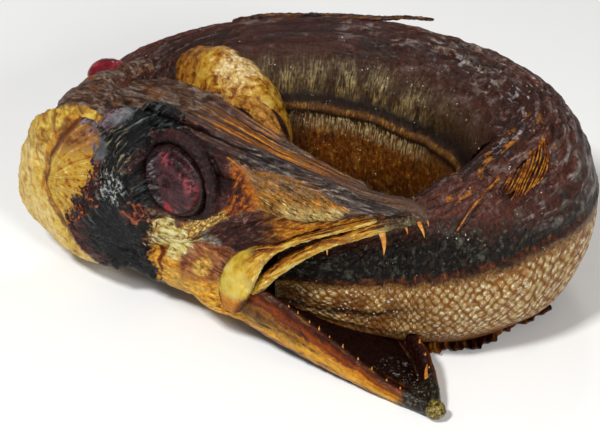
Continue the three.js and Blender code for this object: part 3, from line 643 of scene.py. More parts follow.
def sleeve(name, steps, sides, section):
    """A closed tube; section gives metres for shares of its length and degrees round it."""
    deselect()
    bpy.ops.mesh.primitive_grid_add(x_subdivisions=steps, y_subdivisions=sides, size=2)
    made = bpy.context.object
    made.name = name
    flat = coordinates(made)
    place_points(made, section((flat[:, 0] + 1) / 2, flat[:, 1] * 180))
    a = np.radians(flat[:, 1] * 180)
    mark(made, "grain", np.stack([np.cos(a), np.sin(a), (flat[:, 0] + 1) / 2], 1))
    close_up(made)
    return made


def strand(name, rows, deep_way, steps, sides, place, wobble=None):
    """A tapering bar through rows of centre, half size across and half size deep, in a frame of its own."""
    rows = np.array(rows, float)
    deep_way = np.array(deep_way, float)

    def section(u, degrees):
        at = along_table(rows, u)
        way = along_table(rows, u + 0.01)[:, :3] - along_table(rows, u - 0.01)[:, :3]
        way /= np.linalg.norm(way, axis=1)[:, None]
        deep = deep_way - way * (way @ deep_way)[:, None]
        deep /= np.linalg.norm(deep, axis=1)[:, None]
        across = np.cross(way, deep)
        grow = np.ones(len(u)) if wobble is None else wobble(u, degrees)
        shut = np.sqrt(np.clip(1 - (2 * u - 1) ** 40, 0.02, 1)) * grow
        a = np.radians(degrees)
        return place(at[:, :3] + across * (np.cos(a) * at[:, 3] * shut)[:, None]
                     + deep * (np.sin(a) * at[:, 4] * shut)[:, None])
    return sleeve(name, steps, sides, section)


def ball(name, centre, radii, rows, place):
    deselect()
    bpy.ops.mesh.primitive_uv_sphere_add(radius=1, segments=rows * 2, ring_count=rows)
    made = bpy.context.object
    made.name = name
    place_points(made, place(coordinates(made) * radii + centre))
    close_up(made)
    return made


def wrapped(name, points, place):
    """The tight closed skin round a few points."""
    deselect()
    bpy.ops.mesh.primitive_cube_add(size=1)
    made = bpy.context.object
    made.name = name
    made.data.clear_geometry()
    made.data.from_pydata([tuple(p) for p in place(points)], [], [])
    take(made)
    bpy.ops.object.mode_set(mode="EDIT")
    bpy.ops.mesh.select_all(action="SELECT")
    bpy.ops.mesh.convex_hull()
    bpy.ops.object.mode_set(mode="OBJECT")
    return made


def flap(name, upper, lower, thick, side, place):
    """A skin stretched between two rows of points, closed round its edges."""
    upper, lower = np.array(upper, float), np.array(lower, float)

    def section(u, degrees):
        t = (degrees + 180) / 360
        across = (1 - np.abs(2 * t - 1))[:, None]
        out = np.where(t < 0.5, 0.5, -0.5) * thick * np.sqrt(np.sin(np.pi
                                                                    * np.clip(across[:, 0], 0.03, 0.97)))
        spot = along_table(upper, u) * (1 - across) + along_table(lower, u) * across
        spot[:, 1] += out
        return place(spot * (1, side, 1))
    return sleeve(name, 60, 48, section)


def run_together(name, pieces, grit, smoothing):
    """Joins pieces that have dried into one mass and gives it an even skin of small faces."""
    deselect()
    for piece in pieces:
        piece.select_set(True)
    bpy.context.view_layer.objects.active = pieces[0]
    bpy.ops.object.join()
    made = bpy.context.object
    made.name = name
    even = made.modifiers.new("even", "REMESH")
    even.mode = "VOXEL"
    even.voxel_size = grit
    bpy.ops.object.modifier_apply(modifier="even")
    soft = made.modifiers.new("soft", "SMOOTH")
    soft.factor = 0.5
    soft.iterations = smoothing
    bpy.ops.object.modifier_apply(modifier="soft")
    bpy.ops.object.shade_smooth()
    return made


def outward(piece):
    found = np.zeros(len(piece.data.vertices) * 3, np.float32)
    piece.data.vertex_normals.foreach_get("vector", found)
    return found.reshape(-1, 3)


def swell(piece, millimetres):
    """Moves every point of a piece out along its own normal."""
    place_points(piece, coordinates(piece) + outward(piece) * np.asarray(millimetres)[:, None] / 1000)


# x, top z, widest z, bottom z, half width, roundness above and below, from nape to snout
SKULL = np.array([
    (-145, 15, -2, -16, 9, 2, 2),
    (-135, 24, 0, -29, 19, 1.9, 2.2),
    (-120, 25.5, 0, -34, 25, 1.8, 2.3),
    (-104, 24, -2, -34, 23, 1.7, 2.4),
    (-88, 20.5, -4, -31, 19.5, 1.6, 2.6),
    (-73, 16.5, -5, -22, 16, 1.6, 2.6),
    (-58, 12.5, -5, -14, 13, 1.6, 2.6),
    (-43, 9.5, -4, -10, 10, 1.7, 2.6),
    (-29, 7, -2.5, -7.5, 7.6, 1.8, 2.6),
    (-15, 6.0, 0.4, -3.4, 5.2, 2, 2.4),
    (-5, 6.4, 2.6, -1.4, 3.6, 2, 2),
    (1, 4.8, 2.8, 0.6, 1.8, 2, 2),
], float)
CHEEK_BONE = [(-118, 23, -15, 2, 1.5), (-105, 23, -16.5, 3.5, 2.6), (-92, 21, -14.5, 4, 2.6),
              (-78, 17.2, -11, 3.2, 2.4), (-62, 13.6, -5.5, 3, 1.8), (-45, 10, -2, 2.4, 1.2),
              (-30, 7.2, -1, 1.6, 0.8)]
ROOF_RIDGE = [(-122, 9, 23.2, 1.4, 1.6), (-104, 8.2, 22.4, 1.6, 1.8), (-86, 7.2, 19.4, 1.5, 1.6),
              (-66, 5.6, 14.3, 1.4, 1.4), (-44, 4, 9.3, 1.2, 1.2), (-24, 2.6, 5.9, 1, 1)]
BROW = [(-112, 16.5, 16.0, 0.8, 1.6), (-98, 16.4, 17.6, 1.8, 2.4), (-86, 14.8, 16.6, 1.9, 2.4),
        (-74, 12.0, 13.4, 1.4, 1.8), (-62, 8.6, 9.4, 0.5, 0.6)]
UNDER_BROW = [(-80, 11.5, 9.5, 3.5, 3.2), (-73, 10.8, 9.0, 3.5, 3.2), (-64, 9.2, 6.6, 3, 2.6),
              (-56, 8.4, 4.5, 2, 1.8)]
# outline of the right gill cover, and for each layer of it the share of the outline's size and the distance
# out from the middle of the head
GILL_OUTLINE = np.array([(-123, 27), (-137, 23.5), (-147, 15), (-154.5, 5), (-159, -5), (-160, -12.5),
                         (-156, -18.5), (-148, -23), (-138, -27), (-124, -29), (-110, -26), (-104, 0),
                         (-110, 21)], float)
GILL_LAYERS = np.array([(0.86, 27.5), (0.97, 29.4), (1.0, 30.9), (0.95, 31.9), (0.86, 33.0), (0.74, 34.2),
                        (0.62, 35.0), (0.46, 35.5), (0.3, 35.8), (0.15, 35.9), (0.03, 36.0)])
# The skin between the cheek bone and the upper jaw's second strand
SKIN_TOP = [(-84, 16, -8), (-73, 13, -6), (-58, 10, -5), (-43, 7.5, -3.5), (-29, 5.5, -2), (-18, 4, -1)]
SKIN_FOOT = [(-74, 17.4, -34), (-64, 17.2, -25), (-54, 15.6, -15.5), (-40, 12, -8.6), (-27, 8.6, -4.2),
             (-15, 5.4, -1.2)]
CHEEK = [(-60, 13.5, -8), (-66, 15, -22), (-73, 17.5, -35), (-90, 21, -37),
         (-104, 23, -34), (-112, 24, -20), (-84, 19.5, -6)]
EYE_CENTRE = (-87.5, 19, 4.3)
EYE_RADII = (12.2, 5.6, 11.8)


def skull_section(u, degrees):
    at = along_table(SKULL, u)
    a = np.radians(degrees)
    above = np.cos(a) >= 0
    power = 2 / np.where(above, at[:, 5], at[:, 6])
    y = -at[:, 4] * np.sign(np.sin(a)) * np.abs(np.sin(a)) ** power
    z = at[:, 2] + (np.where(above, at[:, 1], at[:, 3]) - at[:, 2]) * np.abs(np.cos(a)) ** power
    return from_head(np.stack([at[:, 0], y, z], 1))


def gill_section(u, degrees):
    turn = np.concatenate([GILL_OUTLINE[-2:], GILL_OUTLINE, GILL_OUTLINE[:3]])
    s = (degrees + 180) / 360 * len(GILL_OUTLINE)
    i = np.floor(s).astype(int) % len(GILL_OUTLINE)
    f = (s - np.floor(s))[:, None]
    a, b, c, d = (turn[i + k] for k in (1, 2, 3, 4))
    edge = b + 0.5 * f * (c - a + f * (2 * a - 5 * b + 4 * c - d + f * (3 * (b - c) + d - a)))
    layer = along_table(GILL_LAYERS, u)
    middle = np.array([-131, -1])
    spot = middle + (edge - middle) * layer[:, :1]
    tucked = 3.5 * step_up(spot[:, 0], -124, -106)
    return from_head(np.stack([spot[:, 0], tucked - layer[:, 1], spot[:, 1]], 1))


head_pieces = [sleeve("skull", 90, 72, skull_section), sleeve("gill_cover_right", 60, 120, gill_section)]
for side in (-1, 1):
    for name, rows in (("cheek_bone", CHEEK_BONE), ("roof_ridge", ROOF_RIDGE),
                       ("brow", BROW), ("under_brow", UNDER_BROW)):
        mirrored = [(x, y * side, z, across, deep) for x, y, z, across, deep in rows]
        head_pieces.append(strand(name, mirrored, (0, 1, 0), 40, 16, from_head))
    head_pieces.append(flap("jaw_skin", SKIN_TOP, SKIN_FOOT, 1.5, side, from_head))
    corners = [(x, side * (y - depth), z) for x, y, z in CHEEK for depth in (0, 7)]
    head_pieces.append(wrapped("cheek", corners, from_head))
    bpy.ops.mesh.primitive_torus_add(major_radius=14.6, minor_radius=2.2, major_segments=72,
                                     minor_segments=16)
    lids = bpy.context.object
    ring = coordinates(lids)[:, (0, 2, 1)] * (1 if side < 0 else 0.93)
    sunk = 2.1 if side < 0 else 2.9
    place_points(lids, from_head(ring + (EYE_CENTRE[0], side * (EYE_CENTRE[1] - sunk), EYE_CENTRE[2])))
    close_up(lids)
    head_pieces.append(lids)
for centre, radii in (((-117, -20, -5), (22.5, 10.5, 28)), ((-102, 17, -3), (20, 13, 25)),
                      ((-130, -13.5, 11), (17, 15.5, 17.5)), ((-133.5, -13.5, -4.5), (23, 17, 21)),
                      ((-112, -16.5, 1), (17, 11, 23)), ((-108, -20.5, -3), (12, 10, 24))):
    head_pieces.append(ball("lump", centre, radii, 32, from_head))
THROAT = [(-24, -24, 11), (-37, -18, 14), (-58, -5, 13), (-76, 12, 12), (-62, 32, 8), (-36, 30, 8),
          (-12, 14, 12), (0, 6, 8)]
head_pieces.append(wrapped("throat", [(x, y, z + up) for x, y, z in THROAT for up in (0, 8)], from_plan))
head_pieces.append(ball("nape", (-53, 26, 50), (13, 15, 12.5), 32, from_plan))
# the nape's skin is rolled up at its torn edge
NAPE_EDGE = [(-78, 26, 49, 3, 3), (-73, 31, 54, 5, 5), (-69.7, 34, 57, 5.2, 5.2), (-61.1, 36, 60, 4.8, 4.8),
             (-56.2, 38, 62, 4, 4), (-49, 41, 62, 3, 3)]
head_pieces.append(strand("nape_edge", NAPE_EDGE, (0, 0, 1), 60, 24, from_plan))
JAW_ROOT = [(-13, -32.4, 16.6, 6.6, 0.9), (-19, -29, 18.6, 7.8, 2.4), (-26, -25, 20.8, 9.2, 3.5),
            (-36, -19, 23.6, 7.1, 3.4), (-43, -15, 24.6, 4.2, 2.4)]
head_pieces.append(strand("jaw_root", JAW_ROOT, (-0.51, 0.86, 0), 40, 32, from_plan))
head = run_together("head", head_pieces, 0.000655, 9)

# The head's outlines are kept on a chart of it: millimetres from the snout tip, and degrees from the top
# towards the right cheek (the left cheek is negative)
BURNT = [(-116, 37), (-111, 31), (-108, 21), (-102, 11), (-93, 14), (-89, 22), (-93, 38), (-98, 48),
         (-100, 60), (-100, 69), (-99, 80), (-98, 92), (-97, 108), (-98, 113), (-100, 121), (-101, 131),
         (-98, 142), (-106, 150), (-114, 146), (-119, 136), (-122, 127), (-126, 119), (-127, 109),
         (-123, 100), (-118, 89), (-114, 81), (-113, 71), (-112, 64), (-110, 55), (-115, 48)]
GOLDEN = [(-115, 48), (-120, 57), (-124, 64), (-129, 72), (-131, 80), (-134, 88), (-133, 97), (-131, 103),
          (-129, 107), (-126, 114), (-122, 125), (-112, 122), (-108, 100), (-106, 80), (-106, 60)]
CREAM = [(-99, 107), (-96, 106), (-91, 107), (-86, 109), (-84, 112), (-89, 115), (-95, 117), (-100, 116)]
CREAM_BELOW = [(-102, 121), (-96, 118), (-90, 117), (-84, 118), (-80, 120), (-84, 122),
               (-90, 123), (-95, 123), (-101, 125)]
TAN = [(-92, 117), (-88, 111), (-81, 101), (-75, 92), (-70, 89), (-69, 94), (-75, 104),
       (-81, 115), (-85, 120), (-91, 119)]
RED_BELOW = [(-86, 124), (-82, 121), (-77, 124), (-70, 128), (-67, 132), (-73, 135), (-79, 133), (-85, 131)]
DRIP = [(-97, 123), (-97.5, 129), (-97, 135)]
PORE = (-78, -23)
MEMBRANE = [(-83, 121), (-79, 116), (-75, 108), (-71, 98), (-66, 90), (-61, 84), (-56, 79), (-42, 95),
            (-29, 90), (-18, 77), (-20, 120), (-44, 122), (-60, 122), (-66, 132), (-70, 130), (-76, 124)]
LOW_CHEEK = [(-100, 121), (-97, 122), (-86, 120), (-84, 127), (-77, 127), (-73, 134),
             (-60, 138), (-46, 136), (-42, 150), (-42, 172), (-84, 168), (-100, 152), (-103, 134)]
LEFT_LOBE = [(-112, 29), (-96, 31), (-74, 29), (-72, 62), (-84, 100), (-98, 95), (-108, 60)]
ORANGE = [(-73, 38), (-64, 36), (-60, 50), (-58, 78), (-68, 93), (-78, 99), (-86, 106),
          (-80, 97), (-74, 78)]
OLIVE = [(-64, 36), (-56, 26), (-43, 30), (-36, 36), (-24, 60), (-30, 88), (-41, 92), (-56, 78), (-64, 66)]
SOOTY = [(-70, 24), (-60, 10), (-44, 12), (-28, 18), (-14, 30), (-4, 60), (-10, 80), (-24, 58), (-36, 34),
         (-45, 27), (-58, 28), (-66, 38)]
PLATE = [(-114, 44), (-120, 57), (-124, 64), (-129, 72), (-131, 80), (-134, 88), (-133, 97), (-131, 103),
         (-129, 107), (-126, 114), (-123, 121), (-116, 128), (-140, 145), (-175, 130),
         (-175, 70), (-150, 47), (-132, 44), (-124, 41)]
FAN_HUB = (-134, 86)
GILL_EDGE = [(-115, 48), (-120, 57), (-124, 64), (-129, 72), (-131, 80), (-134, 88),
             (-133, 97), (-131, 103), (-129, 107), (-126, 114), (-124, 121), (-121, 124)]
CHART_SCALE = 0.45


def chart_degrees(local):
    middle = np.interp(local[:, 0], SKULL[:, 0], SKULL[:, 2])
    return np.degrees(np.arctan2(-local[:, 1], local[:, 2] - middle))


def edge_distance(line, x, degrees, closed):
    corners = np.array(line, float) * (1, CHART_SCALE)
    ends = np.roll(corners, -1, 0) if closed else corners[1:]
    nearest = np.full(len(x), 1e9)
    inside = np.zeros(len(x), bool)
    y = degrees * CHART_SCALE
    for (ax, ay), (bx, by) in zip(corners, ends):
        share = np.clip(((x - ax) * (bx - ax) + (y - ay) * (by - ay)) / ((bx - ax) ** 2 + (by - ay) ** 2),
                        0, 1)
        nearest = np.minimum(nearest, np.hypot(x - ax - share * (bx - ax), y - ay - share * (by - ay)))
        if ay != by:
            crosses = ((ay > y) != (by > y)) & (x < (bx - ax) * (y - ay) / (by - ay) + ax)
            inside ^= crosses
    return np.where(inside, nearest, -nearest) if closed else nearest


local = to_head(coordinates(head))
degrees = chart_degrees(local)
x = local[:, 0]
burnt = edge_distance(BURNT, x, degrees, True)
golden = edge_distance(GOLDEN, x, np.abs(degrees), True)
cream = np.maximum(edge_distance(CREAM, x, np.abs(degrees), True),
                   edge_distance(CREAM_BELOW, x, np.abs(degrees), True))
tan = edge_distance(TAN, x, np.abs(degrees), True)
red_below = edge_distance(RED_BELOW, x, np.abs(degrees), True)
drip = edge_distance(DRIP, x, np.abs(degrees), False)
pore = np.hypot(x - PORE[0], local[:, 2] - PORE[1]) + 9 * (local[:, 1] > 0)
membrane = edge_distance(MEMBRANE, x, np.abs(degrees), True)
low_cheek = edge_distance(LOW_CHEEK, x, np.abs(degrees), True)
orange = edge_distance(ORANGE, x, np.abs(degrees), True)
olive = edge_distance(OLIVE, x, np.abs(degrees), True)
sooty = edge_distance(SOOTY, x, np.abs(degrees), True)
gill_edge = edge_distance(GILL_EDGE, x, np.abs(degrees), False)
wide = np.interp(x, SKULL[:, 0], SKULL[:, 4])
lane = local[:, 1] / wide
roof = step_up(60 - np.abs(degrees), 0, 14) * step_up(x, -142, -130)
lane_place = np.stack([x * 0.02, lane * 6, np.zeros(len(x))], 1)
grooves = rough(lane_place, 1.0, 11, 3)
fibres_along = rough(local * (0.12, 1, 1), 1.6, 12, 3)
lumps = rough(local, 5.0, 13, 3)
grit = rough(local, 1.1, 14, 3)
crackle = 1 - 2 * np.abs(rough(local, 3.0, 15, 4))
fold_lines = rough(local * (0.16, 0.8, 0.8) + rough(local, 14, 17, 2)[:, None] * 4, 2.2, 18, 3)
height = roof * (0.70 * grooves + 0.25 * fibres_along) * step_up(x, -5, -25) * step_up(x, -128, -112)
height += step_up(-x, 108, 122) * step_up(70 - degrees, 0, 20) * 0.5 * fold_lines
height += 0.22 * lumps + 0.10 * grit
on_plate = step_up(edge_distance(PLATE, x, degrees, True), -0.5, 1.5)
dents = rough(local * (0.8, 1, 0.6), 6.5, 22, 3)
height += on_plate * (0.55 * dents + 0.22 * rough(local, 2.2, 26, 3))
height -= on_plate * 0.7 * step_up(-x, 138, 150)
char = step_up(burnt, -0.5, 1.5)
melted = rough(local * (0.75, 1, 0.55) + rough(local, 7, 19, 2)[:, None] * 2.5, 3.0, 20, 4)
crust = 0.55 * crackle + 0.75 * melted
eye_way = np.stack([local[:, 0] - EYE_CENTRE[0], local[:, 2] - EYE_CENTRE[2]], 1)
eye_far = np.hypot(eye_way[:, 0] / EYE_RADII[0], eye_way[:, 1] / EYE_RADII[2])
eye_way /= np.maximum(np.hypot(eye_way[:, 0], eye_way[:, 1]), 0.1)[:, None]
swirl = np.stack([eye_way[:, 0] * 4, eye_way[:, 1] * 4, eye_far * 12], 1)
feathered = 1 - 2 * np.abs(rough(swirl, 2.2, 23, 4))
crust = 0.35 * crust + 0.55 * feathered
low_char = char * step_up(-local[:, 2], 2, 12)
height += char * (0.85 * crust + 0.15 * grit + 0.20) - 0.35 * low_char * crust
height += char * step_up(-local[:, 2], 16, 24) * 1.1 * rough(local * (1, 0.5, 1), 3.2, 27, 3)
height += hill(pore, 2.0, 1.2) * 0.35 - hill(pore, 0, 0.6) * 0.5
height += step_up(membrane, -0.8, 1.2) * (0.5 * fibres_along - 0.9)
height += step_up(cream, -0.8, 1.0) * 0.35
height += step_up(olive, -1, 2) * 0.30 * fibres_along
height -= hill(gill_edge, 0.9, 0.7) * 0.5 * step_up(-x, 112, 118) * (golden < 0)
height += hill(golden, 0.8, 0.8) * hill(gill_edge, 0.6, 1.2) * 0.6
spokes = np.degrees(np.arctan2((np.abs(degrees) - FAN_HUB[1]) * CHART_SCALE, x - FAN_HUB[0]))
fan = rough(np.stack([spokes * 0.28, np.zeros(len(x)), np.zeros(len(x))], 1), 1.0, 16, 2)
height += step_up(golden, -0.5, 1.5) * 0.35 * fan
lid_folds = rough(np.stack([eye_way[:, 0] * 2.4, eye_way[:, 1] * 2.4, eye_far * 9], 1), 1.0, 21, 3)
height += 0.45 * lid_folds * hill(eye_far, 1.28, 0.30) * (np.abs(local[:, 1]) > 8)
swell(head, height)
# The eye sockets are hollows that the dried eyes lie in
local = to_head(coordinates(head))
side = np.sign(local[:, 1])
reach = np.hypot((local[:, 0] - EYE_CENTRE[0]) / (EYE_RADII[0] + 0.3),
                 (local[:, 2] - EYE_CENTRE[2]) / (EYE_RADII[2] + 0.3))
hollow = EYE_CENTRE[1] - (EYE_RADII[1] + 0.3) * np.sqrt(np.clip(1 - reach ** 2, 0, 1))
pushed = np.where(reach < 1, np.minimum(np.abs(local[:, 1]), hollow), np.abs(local[:, 1]))
local[:, 1] = side * pushed
settled = from_head(local)
settled[:, 2] = np.maximum(settled[:, 2], 0)
place_points(head, settled)
mark(head, "head", local)
mark(head, "lanes", np.stack([x * 0.01, lane, roof], 1))
mark(head, "burnt", burnt)
mark(head, "bone", np.stack([cream, membrane, low_cheek], 1))
mark(head, "cheek", np.stack([orange, olive, sooty], 1))
mark(head, "golden", np.stack([golden, gill_edge, spokes / 90], 1))
plate = edge_distance(PLATE, x, degrees, True)
mark(head, "plate", plate)
mark(head, "lobe", edge_distance(LEFT_LOBE, x, -degrees, True))
lid_width = 1.10 + 0.34 * np.maximum(eye_way[:, 1], 0) + 0.52 * np.maximum(eye_way[:, 0], 0) ** 2
lid_width = np.where(local[:, 1] < 0, lid_width, 1.08)
mark(head, "lids", np.where(np.abs(local[:, 1]) > 8, (eye_far - 1) / (lid_width - 1), 9))
mark(head, "crust", np.stack([crust, grooves, fold_lines], 1))
mark(head, "turned", np.abs(degrees) / 180)
mark(head, "swirl", swirl)
mark(head, "patches", np.stack([tan, red_below, pore], 1))
mark(head, "drip", drip)

head_skin, tree, shader = finish("head_skin", coat=0.16, coat_roughness=0.10)
place = marked(tree, "head", True)
lanes = marked(tree, "lanes", True)
parts = {}
for name, first, second, third in (("bone", "cream", "membrane", "low_cheek"),
                                   ("cheek", "orange", "olive", "sooty"),
                                   ("golden", "golden", "gill_edge", "spokes"),
                                   ("lanes", "length", "lane", "roof"),
                                   ("crust", "crust", "grooves", "folds"),
                                   ("patches", "tan", "red_below", "pore"), ("head", "x", "y", "z")):
    split = new_node(tree, "SeparateXYZ", None, {0: marked(tree, name, True)})
    for label, out in zip((first, second, third), split.outputs):
        parts[label] = out
lumps = grain(tree, place, 0.16, 4.0, 0.6)
fine = grain(tree, place, 0.8, 5.0, 0.65)
jag = scaled(tree, fine, 5.0, -2.5)


def within(tree, distance, soft=0.5, ragged=jag, extra=0.0):
    return span(tree, maths(tree, "ADD", distance, ragged), extra - soft, extra + soft)


def streaks(tree, slope, scale=1.0, long=0.16, warp=0.4):
    """Streaks on the cheek that fall towards the snout by a slope in radians; a negative one rises."""
    return grain(tree, stretched(tree, place, (long, 1.2, 1.2), (0, slope, 0)), scale, 5.0, 0.62, warp)


def around(tree, spot, reach, ragged=jag):
    """The part of the head within some millimetres of a spot on it."""
    away = new_node(tree, "VectorMath", {"operation": "DISTANCE"}, {0: place, 1: spot}).outputs["Value"]
    return span(tree, maths(tree, "ADD", away, ragged), reach + 1.0, reach - 1.0)


runs = stretched(tree, lanes, (1.4, 17.0, 0.0))
strips = grain(tree, runs, 1.6, 4.0, 0.6, 0.25)
fibres = grain(tree, stretched(tree, place, (0.10, 1.2, 1.2)), 1.0, 5.0, 0.62, 0.3)
flow = grain(tree, stretched(tree, place, (0.16, 1.0, 1.0), (0, -0.25, 0)), 0.6, 5.0, 0.65, 0.8)
flow = scaled(tree, parts["folds"], 0.16, flow)
colour = ramp(tree, flow, [(0.28, (0.006, 0.003, 0.002)), (0.42, (0.032, 0.012, 0.006)),
                           (0.50, (0.080, 0.030, 0.011)), (0.57, (0.105, 0.070, 0.050)),
                           (0.66, (0.19, 0.155, 0.130)), (0.76, (0.050, 0.018, 0.008))])
colour = blend(tree, times(tree, span(tree, lumps, 0.55, 0.66), 0.7), colour, (0.17, 0.055, 0.008))
strips = scaled(tree, parts["grooves"], 0.09, strips)
roof_colour = ramp(tree, strips, [(0.26, (0.004, 0.002, 0.002)), (0.37, (0.022, 0.008, 0.006)),
                                  (0.45, (0.070, 0.028, 0.020)), (0.50, (0.030, 0.011, 0.007)),
                                  (0.55, (0.110, 0.064, 0.054)), (0.60, (0.080, 0.026, 0.010)),
                                  (0.66, (0.170, 0.130, 0.122)), (0.74, (0.055, 0.018, 0.008))])
fiery = ramp(tree, strips, [(0.34, (0.008, 0.003, 0.001)), (0.43, (0.080, 0.022, 0.004)),
                            (0.48, (0.34, 0.095, 0.003)),
                            (0.52, (0.12, 0.034, 0.004)), (0.57, (0.46, 0.150, 0.004)),
                            (0.61, (0.66, 0.29, 0.016)),
                            (0.66, (0.26, 0.070, 0.003)), (0.74, (0.07, 0.020, 0.006))])
bands = grain(tree, stretched(tree, lanes, (0.8, 5.5, 0.0)), 1.0, 4.0, 0.62, 0.3)
fore = times(tree, span(tree, parts["x"], -92, -70, 0.45, 1.0), span(tree, parts["x"], -2, -18, 0.35, 1.0))
fiery_share = times(tree, span(tree, bands, 0.43, 0.53), fore)
roof_colour = blend(tree, fiery_share, roof_colour, fiery)
hairs = grain(tree, stretched(tree, lanes, (2.6, 40.0, 0.0)), 1.0, 4.0, 0.62, 0.2)
gold_hairs = times(tree, span(tree, hairs, 0.56, 0.62), span(tree, bands, 0.42, 0.52))
roof_colour = blend(tree, times(tree, gold_hairs, fore), roof_colour, (0.54, 0.215, 0.014))
roof_colour = blend(tree, times(tree, span(tree, hairs, 0.46, 0.38), 0.85), roof_colour,
                    (0.006, 0.003, 0.002))
sheen = times(tree, span(tree, hairs, 0.50, 0.62), span(tree, lumps, 0.52, 0.40))
roof_colour = blend(tree, times(tree, sheen, 0.45), roof_colour, (0.20, 0.160, 0.155))
snout_grime = times(tree, span(tree, scaled(tree, lumps, 20.0, parts["x"]), -34, -14), 0.85)
roof_colour = blend(tree, snout_grime, roof_colour, ramp(tree, hairs, [
    (0.38, (0.003, 0.002, 0.002)), (0.46, (0.018, 0.012, 0.010)), (0.51, (0.075, 0.060, 0.055)),
    (0.55, (0.22, 0.070, 0.006)), (0.59, (0.050, 0.034, 0.026)), (0.65, (0.24, 0.22, 0.19))]))
nape = span(tree, scaled(tree, lumps, 40.0, parts["x"]), -62, -78)
roof_colour = blend(tree, nape, roof_colour, colour)
colour = blend(tree, parts["roof"], colour, roof_colour)
# black-grey towards the snout, with painted grey highlights
colour = blend(tree, times(tree, within(tree, parts["sooty"], 1.5), 0.75), colour,
               ramp(tree, fibres, [(0.38, (0.002, 0.0015, 0.0015)), (0.48, (0.016, 0.013, 0.012)),
                                   (0.53, (0.075, 0.066, 0.064)),
                                   (0.57, (0.030, 0.020, 0.014)), (0.63, (0.22, 0.20, 0.17)),
                                   (0.70, (0.10, 0.040, 0.008))]))
slants = streaks(tree, 0.34, 1.1, 0.22)
mottled = scaled(tree, slants, 0.6, times(tree, lumps, 0.4))
olive_colour = ramp(tree, mottled, [(0.36, (0.010, 0.005, 0.002)), (0.43, (0.050, 0.020, 0.005)),
                                    (0.48, (0.22, 0.105, 0.012)), (0.52, (0.19, 0.060, 0.004)),
                                    (0.56, (0.48, 0.165, 0.004)), (0.60, (0.32, 0.165, 0.024)),
                                    (0.66, (0.60, 0.42, 0.13))])
lower_edge = span(tree, scaled(tree, slants, 0.16, marked(tree, "turned")), 0.53, 0.60)
pale_end = span(tree, scaled(tree, lumps, 20.0, parts["x"]), -44.0, -34.0)
lower_edge = maths(tree, "MAXIMUM", lower_edge,
                   times(tree, pale_end, span(tree, marked(tree, "turned"), 0.30, 0.42)))
olive_colour = blend(tree, times(tree, lower_edge, 0.85), olive_colour, ramp(tree, mottled, [
    (0.40, (0.040, 0.022, 0.007)), (0.46, (0.24, 0.150, 0.034)), (0.51, (0.46, 0.36, 0.14)),
    (0.55, (0.34, 0.190, 0.030)), (0.60, (0.54, 0.49, 0.26)), (0.68, (0.66, 0.63, 0.40))]))
grey_top = times(tree, span(tree, parts["z"], 1.0, 5.0), span(tree, slants, 0.44, 0.56))
olive_colour = blend(tree, times(tree, grey_top, 0.7), olive_colour, (0.075, 0.070, 0.066))
straws = streaks(tree, 0.30, 2.0, 0.08)
olive_colour = blend(tree, span(tree, straws, 0.60, 0.66), olive_colour, (0.60, 0.40, 0.12))
olive_colour = blend(tree, times(tree, span(tree, straws, 0.42, 0.36), 0.8),
                     olive_colour, (0.016, 0.008, 0.003))
colour = blend(tree, within(tree, parts["olive"], 1.0, scaled(tree, slants, 12.0, -6.0)),
               colour, olive_colour)
steep = streaks(tree, -0.95, 0.7, 0.14)
orange_colour = ramp(tree, scaled(tree, steep, 0.65, times(tree, lumps, 0.35)), [
    (0.38, (0.014, 0.003, 0.002)), (0.45, (0.070, 0.012, 0.003)), (0.50, (0.20, 0.040, 0.002)),
    (0.55, (0.38, 0.110, 0.003)), (0.60, (0.12, 0.026, 0.004)), (0.66, (0.16, 0.100, 0.085))])
colour = blend(tree, within(tree, parts["orange"], 1.4, scaled(tree, steep, 10.0, -5.0)),
               colour, orange_colour)
rising = streaks(tree, -0.45, 0.9, 0.14)
torn = scaled(tree, rising, 8.0, -4.0)
membrane_colour = ramp(tree, rising, [(0.36, (0.005, 0.002, 0.001)), (0.48, (0.030, 0.006, 0.004)),
                                      (0.58, (0.068, 0.017, 0.010)), (0.67, (0.19, 0.115, 0.088))])
forward_part = span(tree, scaled(tree, lumps, 16.0, parts["x"]), -52.0, -38.0)
membrane_colour = blend(tree, forward_part, membrane_colour, ramp(tree, rising, [
    (0.34, (0.050, 0.012, 0.001)), (0.46, (0.26, 0.075, 0.004)), (0.58, (0.46, 0.19, 0.014)),
    (0.70, (0.48, 0.30, 0.07))]))
membrane_colour = blend(tree, times(tree, around(tree, (-79, -19, -19), 6.0, torn), 0.8), membrane_colour,
                        ramp(tree, rising,
                             [(0.38, (0.03, 0.02, 0.02)), (0.52, (0.20, 0.185, 0.15)),
                              (0.64, (0.42, 0.40, 0.30))]))
colour = blend(tree, within(tree, parts["membrane"], 0.7, torn), colour, membrane_colour)
falling = streaks(tree, 0.30, 0.9, 0.14)
sagging = scaled(tree, falling, 0.6, times(tree, lumps, 0.4))
low_colour = ramp(tree, sagging, [(0.34, (0.10, 0.020, 0.002)), (0.42, (0.34, 0.115, 0.005)),
                                  (0.49, (0.54, 0.26, 0.016)),
                                  (0.56, (0.62, 0.37, 0.050)), (0.63, (0.44, 0.19, 0.012)),
                                  (0.70, (0.20, 0.06, 0.005))])
jaw_root_colour = ramp(tree, sagging, [(0.36, (0.024, 0.005, 0.001)), (0.43, (0.14, 0.034, 0.002)),
                                       (0.50, (0.36, 0.125, 0.006)), (0.58, (0.56, 0.28, 0.018))])
low_colour = blend(tree, span(tree, scaled(tree, jag, 1.5, parts["x"]), -70.0, -60.0),
                   low_colour, jaw_root_colour)
soft_torn = scaled(tree, falling, 6.0, -3.0)
colour = blend(tree, within(tree, parts["low_cheek"], 0.8, soft_torn), colour, low_colour)
